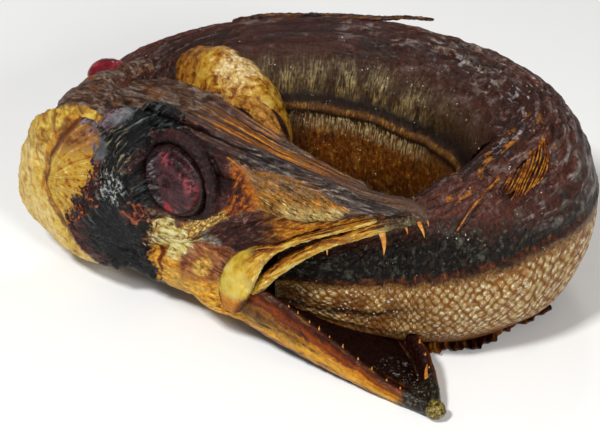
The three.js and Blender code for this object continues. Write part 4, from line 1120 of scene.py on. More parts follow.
# a red-brown patch with a small pore in a swollen golden ring
colour = blend(tree, times(tree, within(tree, parts["red_below"], 0.9, soft_torn), 0.9),
               colour, ramp(tree, sagging, [
                   (0.38, (0.05, 0.010, 0.004)), (0.48, (0.19, 0.045, 0.008)), (0.58, (0.30, 0.13, 0.05))]))
ringed = maths(tree, "ADD", parts["pore"], scaled(tree, fine, 3.0, -1.5))
colour = blend(tree, times(tree, span(tree, ringed, 3.8, 1.8), 0.65), colour, ramp(tree, falling, [
    (0.40, (0.26, 0.090, 0.006)), (0.50, (0.50, 0.27, 0.020)), (0.60, (0.62, 0.44, 0.10))]))
colour = blend(tree, times(tree, span(tree, ringed, 0.9, 0.4), 0.7), colour, (0.030, 0.012, 0.002))
tan_colour = ramp(tree, streaks(tree, -0.70, 1.3, 0.4),
                  [(0.38, (0.08, 0.028, 0.004)), (0.47, (0.28, 0.135, 0.018)),
                   (0.55, (0.46, 0.30, 0.075)), (0.64, (0.62, 0.50, 0.22))])
colour = blend(tree, within(tree, parts["tan"], 0.8, torn), colour, tan_colour)
streaked = streaks(tree, 0.20, 0.7, 0.4)
cream_colour = ramp(tree, streaked, [(0.38, (0.18, 0.090, 0.012)), (0.45, (0.38, 0.28, 0.060)),
                                     (0.52, (0.52, 0.44, 0.165)), (0.64, (0.64, 0.60, 0.34))])
small_jag = scaled(tree, streaked, 4.0, -2.0)
colour = blend(tree, within(tree, parts["cream"], 0.5, small_jag), colour, cream_colour)
colour = blend(tree, span(tree, scaled(tree, fine, 1.6, marked(tree, "drip")), 1.9, 1.3),
               colour, (0.13, 0.018, 0.002))
fan_lines = grain(tree, stretched(tree, new_node(tree, "CombineXYZ", None, {
    0: parts["spokes"], 1: 0.0, 2: 0.0}).outputs[0], (22, 1, 1)), 1.0, 4.0, 0.6)
mellow = grain(tree, place, 0.35, 4.0, 0.6, 0.5)
rays_mix = scaled(tree, fan_lines, 0.45, times(tree, mellow, 0.55))
golden_colour = ramp(tree, rays_mix, [
    (0.38, (0.14, 0.036, 0.003)), (0.44, (0.36, 0.130, 0.005)), (0.49, (0.50, 0.30, 0.022)),
    (0.53, (0.40, 0.26, 0.050)), (0.57, (0.56, 0.33, 0.014)), (0.63, (0.72, 0.56, 0.20))])
glints = times(tree, span(tree, fan_lines, 0.55, 0.66), span(tree, mellow, 0.44, 0.54))
golden_colour = blend(tree, times(tree, glints, 0.7), golden_colour, (0.76, 0.66, 0.36))
golden_colour = blend(tree, times(tree, span(tree, fan_lines, 0.42, 0.34), 0.6),
                      golden_colour, (0.20, 0.06, 0.005))
top_stain = span(tree, scaled(tree, mellow, 14.0, parts["z"]), 18.0, 25.0)
golden_colour = blend(tree, times(tree, top_stain, 0.85), golden_colour, ramp(tree, rays_mix, [
    (0.42, (0.050, 0.012, 0.006)), (0.50, (0.160, 0.050, 0.018)), (0.57, (0.34, 0.120, 0.018)),
    (0.63, (0.44, 0.28, 0.13))]))
colour = blend(tree, within(tree, parts["golden"], 0.7), colour, golden_colour)
# the gill cover: pale, mottled, golden along its top
pebbled = grain(tree, place, 0.28, 5.0, 0.64, 0.4)
plate_colour = ramp(tree, pebbled, [(0.36, (0.44, 0.190, 0.014)), (0.43, (0.60, 0.37, 0.050)),
                                    (0.52, (0.68, 0.48, 0.125)),
                                    (0.60, (0.74, 0.58, 0.27)), (0.70, (0.62, 0.37, 0.060))])
veins = streaks(tree, 1.2, 0.9, 0.3)
plate_colour = blend(tree, times(tree, span(tree, veins, 0.56, 0.66), 0.6), plate_colour,
                     (0.42, 0.190, 0.020))
plate_colour = blend(tree, times(tree, span(tree, veins, 0.43, 0.34), 0.6), plate_colour,
                     (0.76, 0.66, 0.40))
stain = grain(tree, place, 0.07, 4.0, 0.65, 0.6)
plate_colour = blend(tree, times(tree, span(tree, stain, 0.48, 0.60), 0.8), plate_colour,
                     ramp(tree, pebbled, [
                         (0.38, (0.30, 0.120, 0.006)), (0.50, (0.54, 0.33, 0.022)),
                         (0.62, (0.66, 0.48, 0.07))]))
upper_edge = span(tree, scaled(tree, mellow, 12.0, parts["z"]), 14.0, 22.0)
plate_colour = blend(tree, times(tree, upper_edge, 0.85), plate_colour, ramp(tree, pebbled, [
    (0.38, (0.16, 0.060, 0.006)), (0.50, (0.42, 0.22, 0.018)), (0.62, (0.60, 0.44, 0.05))]))
rim = span(tree, scaled(tree, mellow, 8.0, parts["x"]), -148.0, -154.0)
plate_colour = blend(tree, times(tree, rim, 0.7), plate_colour, ramp(tree, pebbled, [
    (0.38, (0.46, 0.21, 0.010)), (0.52, (0.66, 0.46, 0.040)), (0.64, (0.74, 0.56, 0.08))]))
crease = span(tree, scaled(tree, jag, 0.5, parts["gill_edge"]), 3.4, 2.0)
plate_colour = blend(tree, times(tree, crease, 0.85), plate_colour, ramp(tree, mellow, [
    (0.42, (0.10, 0.022, 0.003)), (0.50, (0.30, 0.090, 0.005)), (0.60, (0.50, 0.23, 0.016))]))
colour = blend(tree, span(tree, scaled(tree, jag, 0.4, marked(tree, "plate")), -0.4, 0.4),
               colour, plate_colour)
colour = blend(tree, times(tree, span(tree, parts["gill_edge"], 1.4, 0.3),
                           span(tree, parts["x"], -113, -118)), colour, (0.10, 0.026, 0.004))
# beyond the roof's far edge the left cheek is orange-brown
lobe_colour = ramp(tree, grain(tree, place, 0.35, 4.0, 0.6, 0.4), [
    (0.34, (0.08, 0.020, 0.003)), (0.46, (0.26, 0.095, 0.007)), (0.58, (0.42, 0.19, 0.025)),
    (0.72, (0.50, 0.30, 0.08))])
colour = blend(tree, within(tree, marked(tree, "lobe"), 0.8), colour, lobe_colour)
# lids
lids_mark = marked(tree, "lids")
lid_colour = ramp(tree, fine, [(0.36, (0.003, 0.001, 0.001)), (0.52, (0.016, 0.004, 0.004)),
                               (0.62, (0.038, 0.012, 0.011)), (0.74, (0.10, 0.060, 0.058))])
lid_colour = blend(tree, span(tree, scaled(tree, jag, 0.15, lids_mark), 0.50, 0.80), lid_colour,
                   ramp(tree, lumps, [(0.38, (0.007, 0.002, 0.002)), (0.56, (0.034, 0.007, 0.006)),
                                      (0.70, (0.080, 0.034, 0.030))]))
colour = blend(tree, span(tree, scaled(tree, jag, 0.12, lids_mark), 1.1, 0.9), colour, lid_colour)
# the burnt crust
scorch = maths(tree, "ADD", marked(tree, "burnt"), times(tree, jag, 1.3))
scorch = maths(tree, "ADD", scorch, scaled(tree, mellow, 12.0, -6.0))
toast = span(tree, scorch, -1.6, -0.2)
behind = span(tree, scaled(tree, parts["z"], 1.2, parts["x"]), -100.0, -112.0)
toast = times(tree, toast, behind)
colour = blend(tree, times(tree, toast, 0.9), colour, ramp(tree, fine, [
    (0.40, (0.030, 0.006, 0.002)), (0.54, (0.20, 0.045, 0.003)), (0.66, (0.42, 0.16, 0.010))]))
feathers = grain(tree, stretched(tree, marked(tree, "swirl", True), (1.5, 1.5, 1.0)), 1.0, 5.0, 0.66, 0.5)
crested = scaled(tree, parts["crust"], 0.10, feathers)
# black char with painted grey sheen and glints on its crests
char_colour = ramp(tree, crested, [(0.42, (0.0004, 0.0004, 0.0004)), (0.55, (0.004, 0.004, 0.004)),
                                   (0.63, (0.018, 0.020, 0.020)), (0.70, (0.085, 0.100, 0.098)),
                                   (0.78, (0.26, 0.28, 0.27))])
# the smooth lower char is black with painted blue-grey sheen
low_char = span(tree, scaled(tree, lumps, 14.0, parts["z"]), 2.0, -6.0)
char_colour = blend(tree, times(tree, low_char, 0.95), char_colour, ramp(tree, sagging, [
    (0.40, (0.0006, 0.0007, 0.0007)), (0.52, (0.0020, 0.0024, 0.0024)),
    (0.58, (0.010, 0.012, 0.012)), (0.66, (0.050, 0.054, 0.052))]))
hem = times(tree, span(tree, maths(tree, "ADD", parts["x"], torn), -117.0, -122.0),
            span(tree, parts["z"], -2.0, -8.0))
char_colour = blend(tree, times(tree, hem, 0.85), char_colour, ramp(tree, falling, [
    (0.40, (0.014, 0.004, 0.004)), (0.54, (0.060, 0.024, 0.022)), (0.66, (0.15, 0.060, 0.030))]))
# painted grey-white glints on the crests in the middle band of the char
middle_band_glints = times(tree, around(tree, (-107, -32, 2.5), 6.5, times(tree, jag, 1.5)),
             span(tree, scaled(tree, fine, 0.7, times(tree, crested, 0.3)), 0.52, 0.60))
char_colour = blend(tree, times(tree, middle_band_glints, 0.85), char_colour, (0.36, 0.38, 0.35))
embers = times(tree, span(tree, lumps, 0.52, 0.60), span(tree, fine, 0.54, 0.64))
embers = times(tree, embers, span(tree, scorch, 5.0, 2.5))
char_colour = blend(tree, times(tree, embers, 0.8), char_colour, ramp(tree, feathers, [
    (0.44, (0.060, 0.006, 0.004)), (0.60, (0.30, 0.060, 0.005))]))
gilt = times(tree, around(tree, (-107, -27, 14), 9.0, torn), span(tree, crested, 0.60, 0.70))
char_colour = blend(tree, times(tree, gilt, 0.8), char_colour, (0.22, 0.150, 0.060))
shards = around(tree, (-101.5, -28, -6.5), 3.8, times(tree, torn, 1.3))
char_colour = blend(tree, times(tree, shards, 0.9), char_colour,
                    ramp(tree, streaks(tree, 0.65, 0.55, 0.30), [
                        (0.40, (0.003, 0.001, 0.001)), (0.49, (0.030, 0.004, 0.003)),
                        (0.54, (0.20, 0.020, 0.018)), (0.58, (0.52, 0.145, 0.008)),
                        (0.62, (0.040, 0.006, 0.010)), (0.68, (0.34, 0.32, 0.36))]))
plates = maths(tree, "MAXIMUM", around(tree, (-111, -19, 23.5), 5.0),
               around(tree, (-110.5, -31, 15.5), 4.0))
char_colour = blend(tree, times(tree, plates, 0.9), char_colour, ramp(tree, lumps, [
    (0.40, (0.055, 0.060, 0.062)), (0.52, (0.130, 0.125, 0.140)), (0.62, (0.20, 0.20, 0.21))]))
colour = blend(tree, span(tree, scorch, -0.4, 0.5), colour, char_colour)
rear = span(tree, parts["x"], -108, -114)
glassy = times(tree, times(tree, span(tree, scorch, -0.6, 0.2), span(tree, scorch, 5.6, 3.4)), rear)
glass_colour = ramp(tree, grain(tree, place, 0.5, 4.0, 0.66, 1.0), [
    (0.40, (0.002, 0.001, 0.001)), (0.52, (0.018, 0.002, 0.001)), (0.57, (0.14, 0.012, 0.001)),
    (0.61, (0.56, 0.135, 0.004)), (0.65, (0.07, 0.006, 0.002)), (0.72, (0.34, 0.28, 0.33))])
glass_colour = blend(tree, span(tree, scaled(tree, lumps, 8.0, parts["z"]), -4.0, -10.0),
                     glass_colour, ramp(tree, falling, [
                         (0.40, (0.010, 0.003, 0.003)), (0.54, (0.045, 0.017, 0.017)),
                         (0.66, (0.14, 0.050, 0.030))]))
flakes = times(tree, span(tree, scaled(tree, fine, 12.0, parts["z"]), 16.0, 20.0),
               span(tree, feathers, 0.40, 0.52))
glass_colour = blend(tree, flakes, glass_colour, (0.17, 0.135, 0.165))
colour = blend(tree, glassy, colour, glass_colour)
deep = ramp(tree, scaled(tree, fine, 0.45, times(tree, fibres, 0.55)), [
    (0.38, 0.40), (0.48, 0.85), (0.56, 1.30), (0.65, 2.0)])
pale_part = span(tree, maths(tree, "MAXIMUM", marked(tree, "plate"),
                             maths(tree, "MAXIMUM", parts["cream"], parts["golden"])), -0.5, 0.5)
colour = blend(tree, scaled(tree, pale_part, -0.60, 0.72), colour, deep, "MULTIPLY")
tree.links.new(colour, shader.inputs["Base Color"])
tree.links.new(blend(tree, span(tree, scorch, -0.4, 0.5), span(tree, fine, 0.3, 0.7, 0.32, 0.62),
                     span(tree, fine, 0.3, 0.7, 0.07, 0.26)), shader.inputs["Roughness"])
burnt_share = span(tree, scorch, -0.4, 0.5)
bump = relief(tree, fibres, 0.0007, blend(tree, burnt_share, (0.7, 0.7, 0.7), (0.0, 0.0, 0.0)))
bump = relief(tree, feathers, 0.0014, blend(tree, burnt_share, (0.0, 0.0, 0.0), (0.9, 0.9, 0.9)), bump)
bump = relief(tree, fine, 0.0006, blend(tree, burnt_share, (0.8, 0.8, 0.8), (0.35, 0.35, 0.35)), bump)
wet(tree, shader, bump)
head.data.materials.append(head_skin)
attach(head, "root")
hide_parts("fish")


# Left gill cover.
# A thin bony plate, dried pale and translucent. The bend of the trunk has pushed it forward and out, so that
# it shows as a dome beyond the skull.
gill_left = ball("gill_cover_left", (-108.5, 23.5, 4.5), (28, 13.5, 27), 120, from_head)
local = to_head(coordinates(gill_left))
sag = 0.9 * rough(local, 14, 23, 2) + 0.35 * rough(local, 3.0, 24, 3) + 0.12 * rough(local, 1.0, 25, 2)
fold = hill((local[:, 0] + 104) + (local[:, 2] - 22) * -0.7, 0, 2.0) * step_up(local[:, 1], 20, 30)
swell(gill_left, sag - 1.3 * fold)
mark(gill_left, "head", to_head(coordinates(gill_left)))
mark(gill_left, "edge", step_up(local[:, 2], -10, 16))

left_skin, tree, shader = finish("gill_cover_left", coat=0.2, coat_roughness=0.15, see_into=0.12)
place = marked(tree, "head", True)
fine = grain(tree, place, 0.9, 5.0, 0.65)
axes = new_node(tree, "SeparateXYZ", None, {0: place})
grime = grain(tree, place, 0.35, 5.0, 0.66, 0.5)
colour = ramp(tree, grime, [(0.36, (0.10, 0.026, 0.002)), (0.45, (0.30, 0.115, 0.006)),
                            (0.54, (0.44, 0.24, 0.020)), (0.66, (0.50, 0.36, 0.08))])
white_spot = new_node(tree, "VectorMath", {"operation": "DISTANCE"},
                      {0: place, 1: (-96.5, 23, 25)}).outputs["Value"]
white = times(tree, span(tree, scaled(tree, grime, -26.0, white_spot), -3.0, -10.0), 0.8)
colour = blend(tree, white, colour, ramp(tree, fine,
                                         [(0.36, (0.36, 0.17, 0.02)), (0.50, (0.58, 0.43, 0.17)),
                                          (0.64, (0.80, 0.76, 0.58))]))
rust = span(tree, scaled(tree, grime, -12.0, axes.outputs[0]), -112.0, -119.0)
colour = blend(tree, times(tree, rust, 0.85), colour, ramp(tree, grime, [
    (0.40, (0.06, 0.016, 0.003)), (0.54, (0.24, 0.075, 0.005)), (0.66, (0.36, 0.16, 0.02))]))
tree.links.new(colour, shader.inputs["Base Color"])
tree.links.new(span(tree, fine, 0.3, 0.7, 0.28, 0.50), shader.inputs["Roughness"])
wet(tree, shader, relief(tree, fine, 0.0004, 0.6))
gill_left.data.materials.append(left_skin)
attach(gill_left, "root")
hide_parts("fish")


# Upper jaw.
# On each side a toothed strand of bone runs back from the snout, and a second one, above it, ends in a broad
# paddle. They have dried to a clear yellow and are held by the skin of the cheek.
PREMAXILLA = [(-1, 1.6, 2.2, 1.7, 1.4), (-10.5, 4.6, -0.6, 2.0, 1.8), (-22.8, 7.2, -5.7, 1.9, 1.8),
              (-32.5, 9.6, -9.6, 1.8, 1.7), (-42.2, 12.1, -14.9, 1.9, 1.8), (-51.7, 14.7, -21.4, 2.0, 1.9),
              (-57, 16.3, -26.0, 2.1, 1.9), (-61.5, 17.6, -31.0, 1.6, 1.5)]
MAXILLA = [(-13.4, 6, 1.0, 1, 1), (-24.2, 8.6, -2.9, 1.2, 1.3), (-36.8, 12, -7.3, 1.2, 1.4),
           (-47.8, 15, -11.9, 1.5, 1.5), (-54.8, 17.4, -15.4, 3.2, 1.5), (-60.8, 19.6, -20.6, 5.6, 1.5),
           (-64.6, 21.2, -26.4, 6.2, 1.6), (-66.8, 21.8, -31.0, 5.6, 1.8), (-68.0, 21.8, -34.4, 4.4, 1.8),
           (-68.6, 21.4, -36.6, 2.4, 1.2)]
strands = []
for side, label in ((-1, "right"), (1, "left")):
    for name, rows in (("premaxilla", PREMAXILLA), ("maxilla", MAXILLA)):
        mirrored = [(x, y * side, z, across, deep) for x, y, z, across, deep in rows]
        bone = strand(name + "_" + label, mirrored, (0, 1, 0), 220, 40, from_head)
        local = to_head(coordinates(bone))
        stringy = rough(local * (0.15, 1, 1), 1.0, 31, 3)
        swell(bone, 0.28 * stringy + 0.12 * rough(local, 0.8, 32, 2))
        mark(bone, "head", to_head(coordinates(bone)))
        strands.append(bone)
bone_skin, tree, shader = finish("jaw_bone", coat=0.12, coat_roughness=0.12, see_into=0.1)
place = marked(tree, "head", True)
own = stretched(tree, marked(tree, "grain", True), (2.6, 2.6, 14.0))
fine = grain(tree, place, 0.9, 5.0, 0.65)
fibres = grain(tree, own, 1.0, 5.0, 0.64, 0.5)
blot = grain(tree, place, 0.16, 4.0, 0.6)
axes = new_node(tree, "SeparateXYZ", None, {0: place})
edge_way = new_node(tree, "SeparateXYZ", None, {0: marked(tree, "grain", True)}).outputs[0]
# painted highlight along one edge of each strand and painted shade along the other
lit_and_shaded = scaled(tree, edge_way, 0.15, fibres)
colour = ramp(tree, lit_and_shaded, [(0.32, (0.012, 0.003, 0.001)), (0.41, (0.13, 0.034, 0.002)),
                             (0.48, (0.36, 0.135, 0.005)), (0.55, (0.50, 0.27, 0.018)),
                             (0.63, (0.56, 0.40, 0.080)), (0.72, (0.72, 0.64, 0.30))])
colour = blend(tree, times(tree, span(tree, blot, 0.52, 0.64), 0.75), colour, (0.22, 0.065, 0.003))
paddle = span(tree, axes.outputs[0], -54, -62)
colour = blend(tree, times(tree, paddle, 0.75), colour,
               ramp(tree, blot, [(0.36, (0.34, 0.150, 0.006)), (0.46, (0.54, 0.36, 0.022)),
                                 (0.56, (0.62, 0.46, 0.06)), (0.66, (0.66, 0.54, 0.14))]))
off_middle = maths(tree, "ABSOLUTE", edge_way)
rim_share = times(tree, span(tree, off_middle, 0.88, 0.99), paddle)
colour = blend(tree, times(tree, rim_share, 0.75), colour, (0.11, 0.026, 0.002))
amber = span(tree, scaled(tree, blot, 10.0, axes.outputs[2]), -22.8, -26.0)
colour = blend(tree, times(tree, amber, 0.95), colour, ramp(tree, scaled(tree, blot, -0.8, off_middle), [
    (0.0, (0.42, 0.145, 0.005)), (0.22, (0.30, 0.075, 0.002)), (0.42, (0.10, 0.016, 0.001)),
    (0.60, (0.03, 0.005, 0.001))]))
# the snout end of the strands is black, with painted pale highlights
front = span(tree, scaled(tree, fine, 8.0, axes.outputs[0]), -12.0, -3.0)
colour = blend(tree, times(tree, front, 0.92), colour, ramp(tree, fine, [
    (0.40, (0.004, 0.003, 0.002)), (0.52, (0.024, 0.018, 0.010)), (0.60, (0.10, 0.085, 0.050)),
    (0.70, (0.30, 0.29, 0.18))]))
tree.links.new(colour, shader.inputs["Base Color"])
tree.links.new(span(tree, fine, 0.3, 0.7, 0.22, 0.45), shader.inputs["Roughness"])
wet(tree, shader, relief(tree, fibres, 0.0007, 0.7, relief(tree, fine, 0.0004, 0.6)))
for bone in strands:
    bone.data.materials.append(bone_skin)
    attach(bone, "root")
    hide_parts("fish")


# Lower jaw.
# Two flat-sided halves of bone under a brown skin meet at a knob in front. Skin dried black and glossy is
# stretched between them.
RIGHT_MANDIBLE = [(41.5, -65.6, 0, 5, 2.4), (35.3, -61.9, 0, 5.6, 2.4), (27.3, -57.1, 0.3, 7, 2.4),
                  (17.6, -51.3, 1.4, 11.5, 2.4), (6, -44.4, 3.3, 17, 2.5), (-4.5, -38, 5.6, 22, 2.9),
                  (-15, -31.6, 8.6, 26, 3.0), (-22, -27.4, 11, 27, 1.6)]
LEFT_MANDIBLE = [(41.5, -65.6, 0, 5, 2.4), (41, -56, 0.2, 7.6, 2.4), (38.6, -45, 0.8, 11, 2.4),
                 (33, -32, 1, 12, 2.5), (22, -16, 3, 15, 2.6), (9, -3, 8, 22, 3), (-5, 9, 14, 30, 4)]
jaw_pieces = []
for rows in (RIGHT_MANDIBLE, LEFT_MANDIBLE):
    upright_rows = [(x, y, (low + high) / 2, (high - low) / 2, thick) for x, y, low, high, thick in rows]
    run = np.array(rows[0][:2]) - np.array(rows[-1][:2])
    run = run / np.linalg.norm(run)
    jaw_pieces.append(strand("half", upright_rows, (-run[1], run[0], 0), 120, 32, from_plan))
outline = RIGHT_MANDIBLE[:7] + [(-26, -25, 11.4, 31, 4)] + LEFT_MANDIBLE[1:]
jaw_pieces.append(wrapped("floor_skin", [(x, y, low + up) for x, y, low, high, thick in outline
                                         for up in (0.6, 3.4)], from_plan))
jaw_pieces.append(ball("knob", (41.8, -66.0, 2.9), (3.4, 3.2, 3.1), 24, from_plan))
jaw = run_together("lower_jaw", jaw_pieces, 0.00050, 3)
spots = coordinates(jaw) * 1000 + (*RING_CENTRE, 0)
grit = rough(spots, 1.2, 41, 3)
lumps = rough(spots, 4.0, 42, 3)
swell(jaw, 0.22 * lumps + 0.12 * grit)
spots = coordinates(jaw)
spots[:, 2] = np.maximum(spots[:, 2], 0)
place_points(jaw, spots)
spots = spots * 1000 + (*RING_CENTRE, 0)


def jaw_height(rows, spots):
    """Distance from a half's middle line in plan, and share of the way up its side."""
    rows = np.array(rows, float)
    best = np.full(len(spots), 1e9)
    share_up = np.zeros(len(spots))
    far = np.zeros(len(spots))
    run = 0.0
    for a, b in zip(rows, rows[1:]):
        d = b[:2] - a[:2]
        length = np.hypot(*d)
        t = np.clip(((spots[:, :2] - a[:2]) @ d) / length ** 2, 0, 1)
        off = spots[:, :2] - a[:2] - t[:, None] * d
        gap = np.hypot(off[:, 0], off[:, 1])
        low, high = a[2] + t * (b[2] - a[2]), a[3] + t * (b[3] - a[3])
        closer = gap < best
        best = np.where(closer, gap, best)
        share_up = np.where(closer, (spots[:, 2] - low) / (high - low), share_up)
        far = np.where(closer, run + t * length, far)
        run += length
    return best, share_up, far


right_gap, right_up, right_far = jaw_height(RIGHT_MANDIBLE, spots)
left_gap, left_up, left_far = jaw_height(LEFT_MANDIBLE, spots)
nearer = right_gap < left_gap
mark(jaw, "sides", np.stack([np.where(nearer, right_gap, left_gap), np.where(nearer, right_up, left_up),
                             np.where(nearer, right_far, left_far)], 1))
facing = outward(jaw)
mark(jaw, "outer", np.where(nearer, facing[:, 0] * -0.5 + facing[:, 1] * -0.85,
                            facing[:, 0] * 0.85 + facing[:, 1] * 0.5))

jaw_skin, tree, shader = finish("lower_jaw", coat=0.10, coat_roughness=0.10)
place = new_node(tree, "TexCoord").outputs["Object"]
split = new_node(tree, "SeparateXYZ", None, {0: marked(tree, "sides", True)})
gap, up_share, far = split.outputs
fine = grain(tree, place, 900.0, 5.0, 0.65)
blot = grain(tree, place, 150.0, 4.0, 0.6)
along_jaw = new_node(tree, "CombineXYZ", None, {0: times(tree, far, 0.12), 1: times(tree, up_share, 7.0),
                                                2: times(tree, gap, 0.7)}).outputs[0]
fibres = grain(tree, along_jaw, 1.0, 5.0, 0.62, 0.3)
edge = scaled(tree, blot, 0.5, scaled(tree, fibres, 0.5, maths(tree, "SUBTRACT", up_share, 0.58)))
colour = ramp(tree, edge, [(0.0, (0.26, 0.085, 0.004)), (0.14, (0.56, 0.26, 0.010)),
                           (0.32, (0.62, 0.31, 0.014)),
                           (0.44, (0.36, 0.110, 0.002)), (0.54, (0.46, 0.17, 0.004)),
                           (0.62, (0.13, 0.022, 0.001)),
                           (0.74, (0.20, 0.036, 0.001)), (0.84, (0.06, 0.009, 0.001)),
                           (1.0, (0.03, 0.005, 0.001))])
colour = blend(tree, times(tree, span(tree, fibres, 0.44, 0.35), 0.85), colour, (0.014, 0.003, 0.001))
glaze = times(tree, span(tree, fibres, 0.56, 0.66), span(tree, up_share, 0.75, 0.45, 0.10, 0.55))
colour = blend(tree, glaze, colour, (0.64, 0.36, 0.04))
deep = ramp(tree, scaled(tree, fine, 0.4, times(tree, fibres, 0.6)), [
    (0.38, 0.45), (0.48, 0.85), (0.56, 1.25), (0.65, 1.7)])
colour = blend(tree, 0.6, colour, deep, "MULTIPLY")
inside = span(tree, marked(tree, "outer"), 0.25, -0.15)
colour = blend(tree, inside, colour, ramp(tree, fine,
                                          [(0.36, (0.004, 0.001, 0.001)), (0.6, (0.020, 0.004, 0.002)),
                                           (0.74, (0.10, 0.05, 0.035))]))
floor_share = span(tree, gap, 2.2, 3.4)
colour = blend(tree, floor_share, colour,
               ramp(tree, fine, [(0.36, (0.002, 0.001, 0.001)), (0.62, (0.012, 0.003, 0.002))]))
tip = span(tree, scaled(tree, blot, -8.0, far), 9.0, 5.0)
colour = blend(tree, tip, colour, ramp(tree, fine,
                                       [(0.36, (0.003, 0.002, 0.001)), (0.54, (0.018, 0.013, 0.008)),
                                        (0.68, (0.12, 0.105, 0.070))]))
knob = span(tree, far, 2.2, 0.6)
colour = blend(tree, knob, colour, ramp(tree, fine,
                                        [(0.40, (0.020, 0.010, 0.002)), (0.52, (0.16, 0.110, 0.020)),
                                         (0.66, (0.38, 0.31, 0.10))]))
frost = times(tree, times(tree, floor_share, span(tree, far, 26.0, 14.0)), span(tree, fine, 0.58, 0.66))
colour = blend(tree, times(tree, frost, 0.7), colour, (0.40, 0.38, 0.38))
tree.links.new(colour, shader.inputs["Base Color"])
tree.links.new(blend(tree, floor_share, span(tree, fine, 0.3, 0.7, 0.26, 0.5), (0.08, 0.08, 0.08)),
               shader.inputs["Roughness"])
wet(tree, shader, relief(tree, fibres, 0.0006, 0.6, relief(tree, fine, 0.0003, 0.5)))
jaw.data.materials.append(jaw_skin)
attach(jaw, "root")
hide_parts("fish")


# Teeth.
# Amber fangs in the upper jaw and at the front of the lower one, with small teeth along its edges. The left
# ones of the upper jaw are worn short.
UPPER_TEETH = [(-0.5, 1.6, 0.6, 4.4, 0.35), (-5, 2.8, -1.0, 2.2, 0.2), (-12.6, 5.4, -2.6, 8.6, -0.05),
               (-32.6, 10, -11.0, 2.6, 0), (-43, 12.6, -16.4, 1.4, 0), (-49, 14.2, -20.6, 1.3, 0)]
LOWER_TEETH = [(0.22, 0.9), (0.29, 1.0), (0.36, 1.5), (0.42, 1.2), (0.48, 2.0),
               (0.53, 1.4), (0.57, 2.2), (0.61, 1.6), (0.66, 1.8), (0.70, 1.3)]


def tooth(name, root, point):
    root, point = np.array(root, float), np.array(point, float)
    length = np.linalg.norm(point - root)
    thick = max(0.4, 0.125 * length)
    way = (point - root) / length
    bow = np.cross(way, (0.3, 0.9, 0.2)) * length * 0.06
    rows = []
    for share in np.linspace(-0.12, 1, 7):
        middle = root + way * length * share + bow * math.sin(math.pi * max(share, 0))
        width = thick * (1 - max(share, 0) ** 1.3) + 0.04
        rows.append((*middle, width, width))
    return strand(name, rows, (0.2, 0.9, 0.4), 24, 14, lambda points: points / 1000)


teeth = []
for side in (-1, 1):
    for x, y, z, length, lean in UPPER_TEETH:
        length *= 1 if side < 0 else 0.5
        root, point = from_head([(x, y * side, z + 0.3), (x + lean * length, y * side, z - length)]) * 1000
        teeth.append(tooth("upper_tooth", root, point))
for rows in (RIGHT_MANDIBLE, LEFT_MANDIBLE):
    table = np.array(rows, float)
    for share, rise in LOWER_TEETH:
        at = along_table(table, np.array([share]))[0]
        root = np.array([at[0], at[1], at[3] - 0.5]) - (*RING_CENTRE, 0)
        teeth.append(tooth("lower_tooth", root, root + (0, 0, rise + 0.3)))
root = np.array([39.6, -55, 6.6]) - (*RING_CENTRE, 0)
teeth.append(tooth("lower_fang", root, root + (0, 0, 5.6)))
deselect()
for made in teeth:
    made.select_set(True)
bpy.context.view_layer.objects.active = teeth[0]
bpy.ops.object.join()
teeth = bpy.context.object
teeth.name = "teeth"
amber, tree, shader = finish("amber_teeth", roughness=0.22, coat=0.3, see_into=0.2)
place = new_node(tree, "TexCoord").outputs["Object"]
colour = ramp(tree, grain(tree, place, 700.0, 3.0), [(0.3, (0.34, 0.10, 0.010)), (0.5, (0.52, 0.20, 0.025)),
                                                     (0.7, (0.66, 0.38, 0.09))])
tree.links.new(colour, shader.inputs["Base Color"])
teeth.data.materials.append(amber)
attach(teeth, "root")
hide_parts("fish")


# Eyes.
# Dried to flat wrinkled discs with a sunken ring round a darker middle, loose in their sockets.
def dried_eye(side, label):
    made = ball("eye_" + label, (0, 0, 0), (1, 1, 1), 110, lambda points: points)
    unit = coordinates(made)[:, (0, 2, 1)]
    out = np.clip(unit[:, 1], -1, 1)
    reach = np.hypot(unit[:, 0] - 0.10, unit[:, 2] - 0.03) / 0.92
    turn = np.arctan2(unit[:, 2], unit[:, 0])
    local = unit * EYE_RADII * (1.04, 1, 1.04)
    local[:, 1] += 0.6 * np.maximum(out, 0)
    front = step_up(out, 0.0, 0.35)
    creases = rough(np.stack([reach * 6, np.cos(turn) * 9, np.sin(turn) * 9], 1), 1.0, 51, 3)
    local[:, 1] -= front * (0.7 * hill(reach, 0.95, 0.035) + 0.7 * step_up(-reach, -0.88, -0.35)
                            - 0.4 * hill(reach, 0.86, 0.05))
    pupil = np.hypot(unit[:, 0] - 0.08, unit[:, 2] - 0.10)
    left_edge = step_up(-unit[:, 0], 0.15, 0.5)
    local[:, 1] += front * ((0.16 + 0.40 * left_edge) * creases + 0.25 * np.cos(pupil * 26)
                            * hill(pupil, 0, 0.35) + 0.1 * hill(pupil, 0.24, 0.07)
                            - 0.25 * hill(pupil, 0.12, 0.07))
    local[:, 1] *= side
    place_points(made, from_head(local + (EYE_CENTRE[0], side * EYE_CENTRE[1], EYE_CENTRE[2])))
    take(made)
    bpy.ops.object.mode_set(mode="EDIT")
    bpy.ops.mesh.select_all(action="SELECT")
    bpy.ops.mesh.normals_make_consistent(inside=False)
    bpy.ops.object.mode_set(mode="OBJECT")
    mark(made, "disc", np.stack([(unit[:, 0] - 0.10) / 0.92, (unit[:, 2] - 0.03) / 0.92, out], 1))
    return made


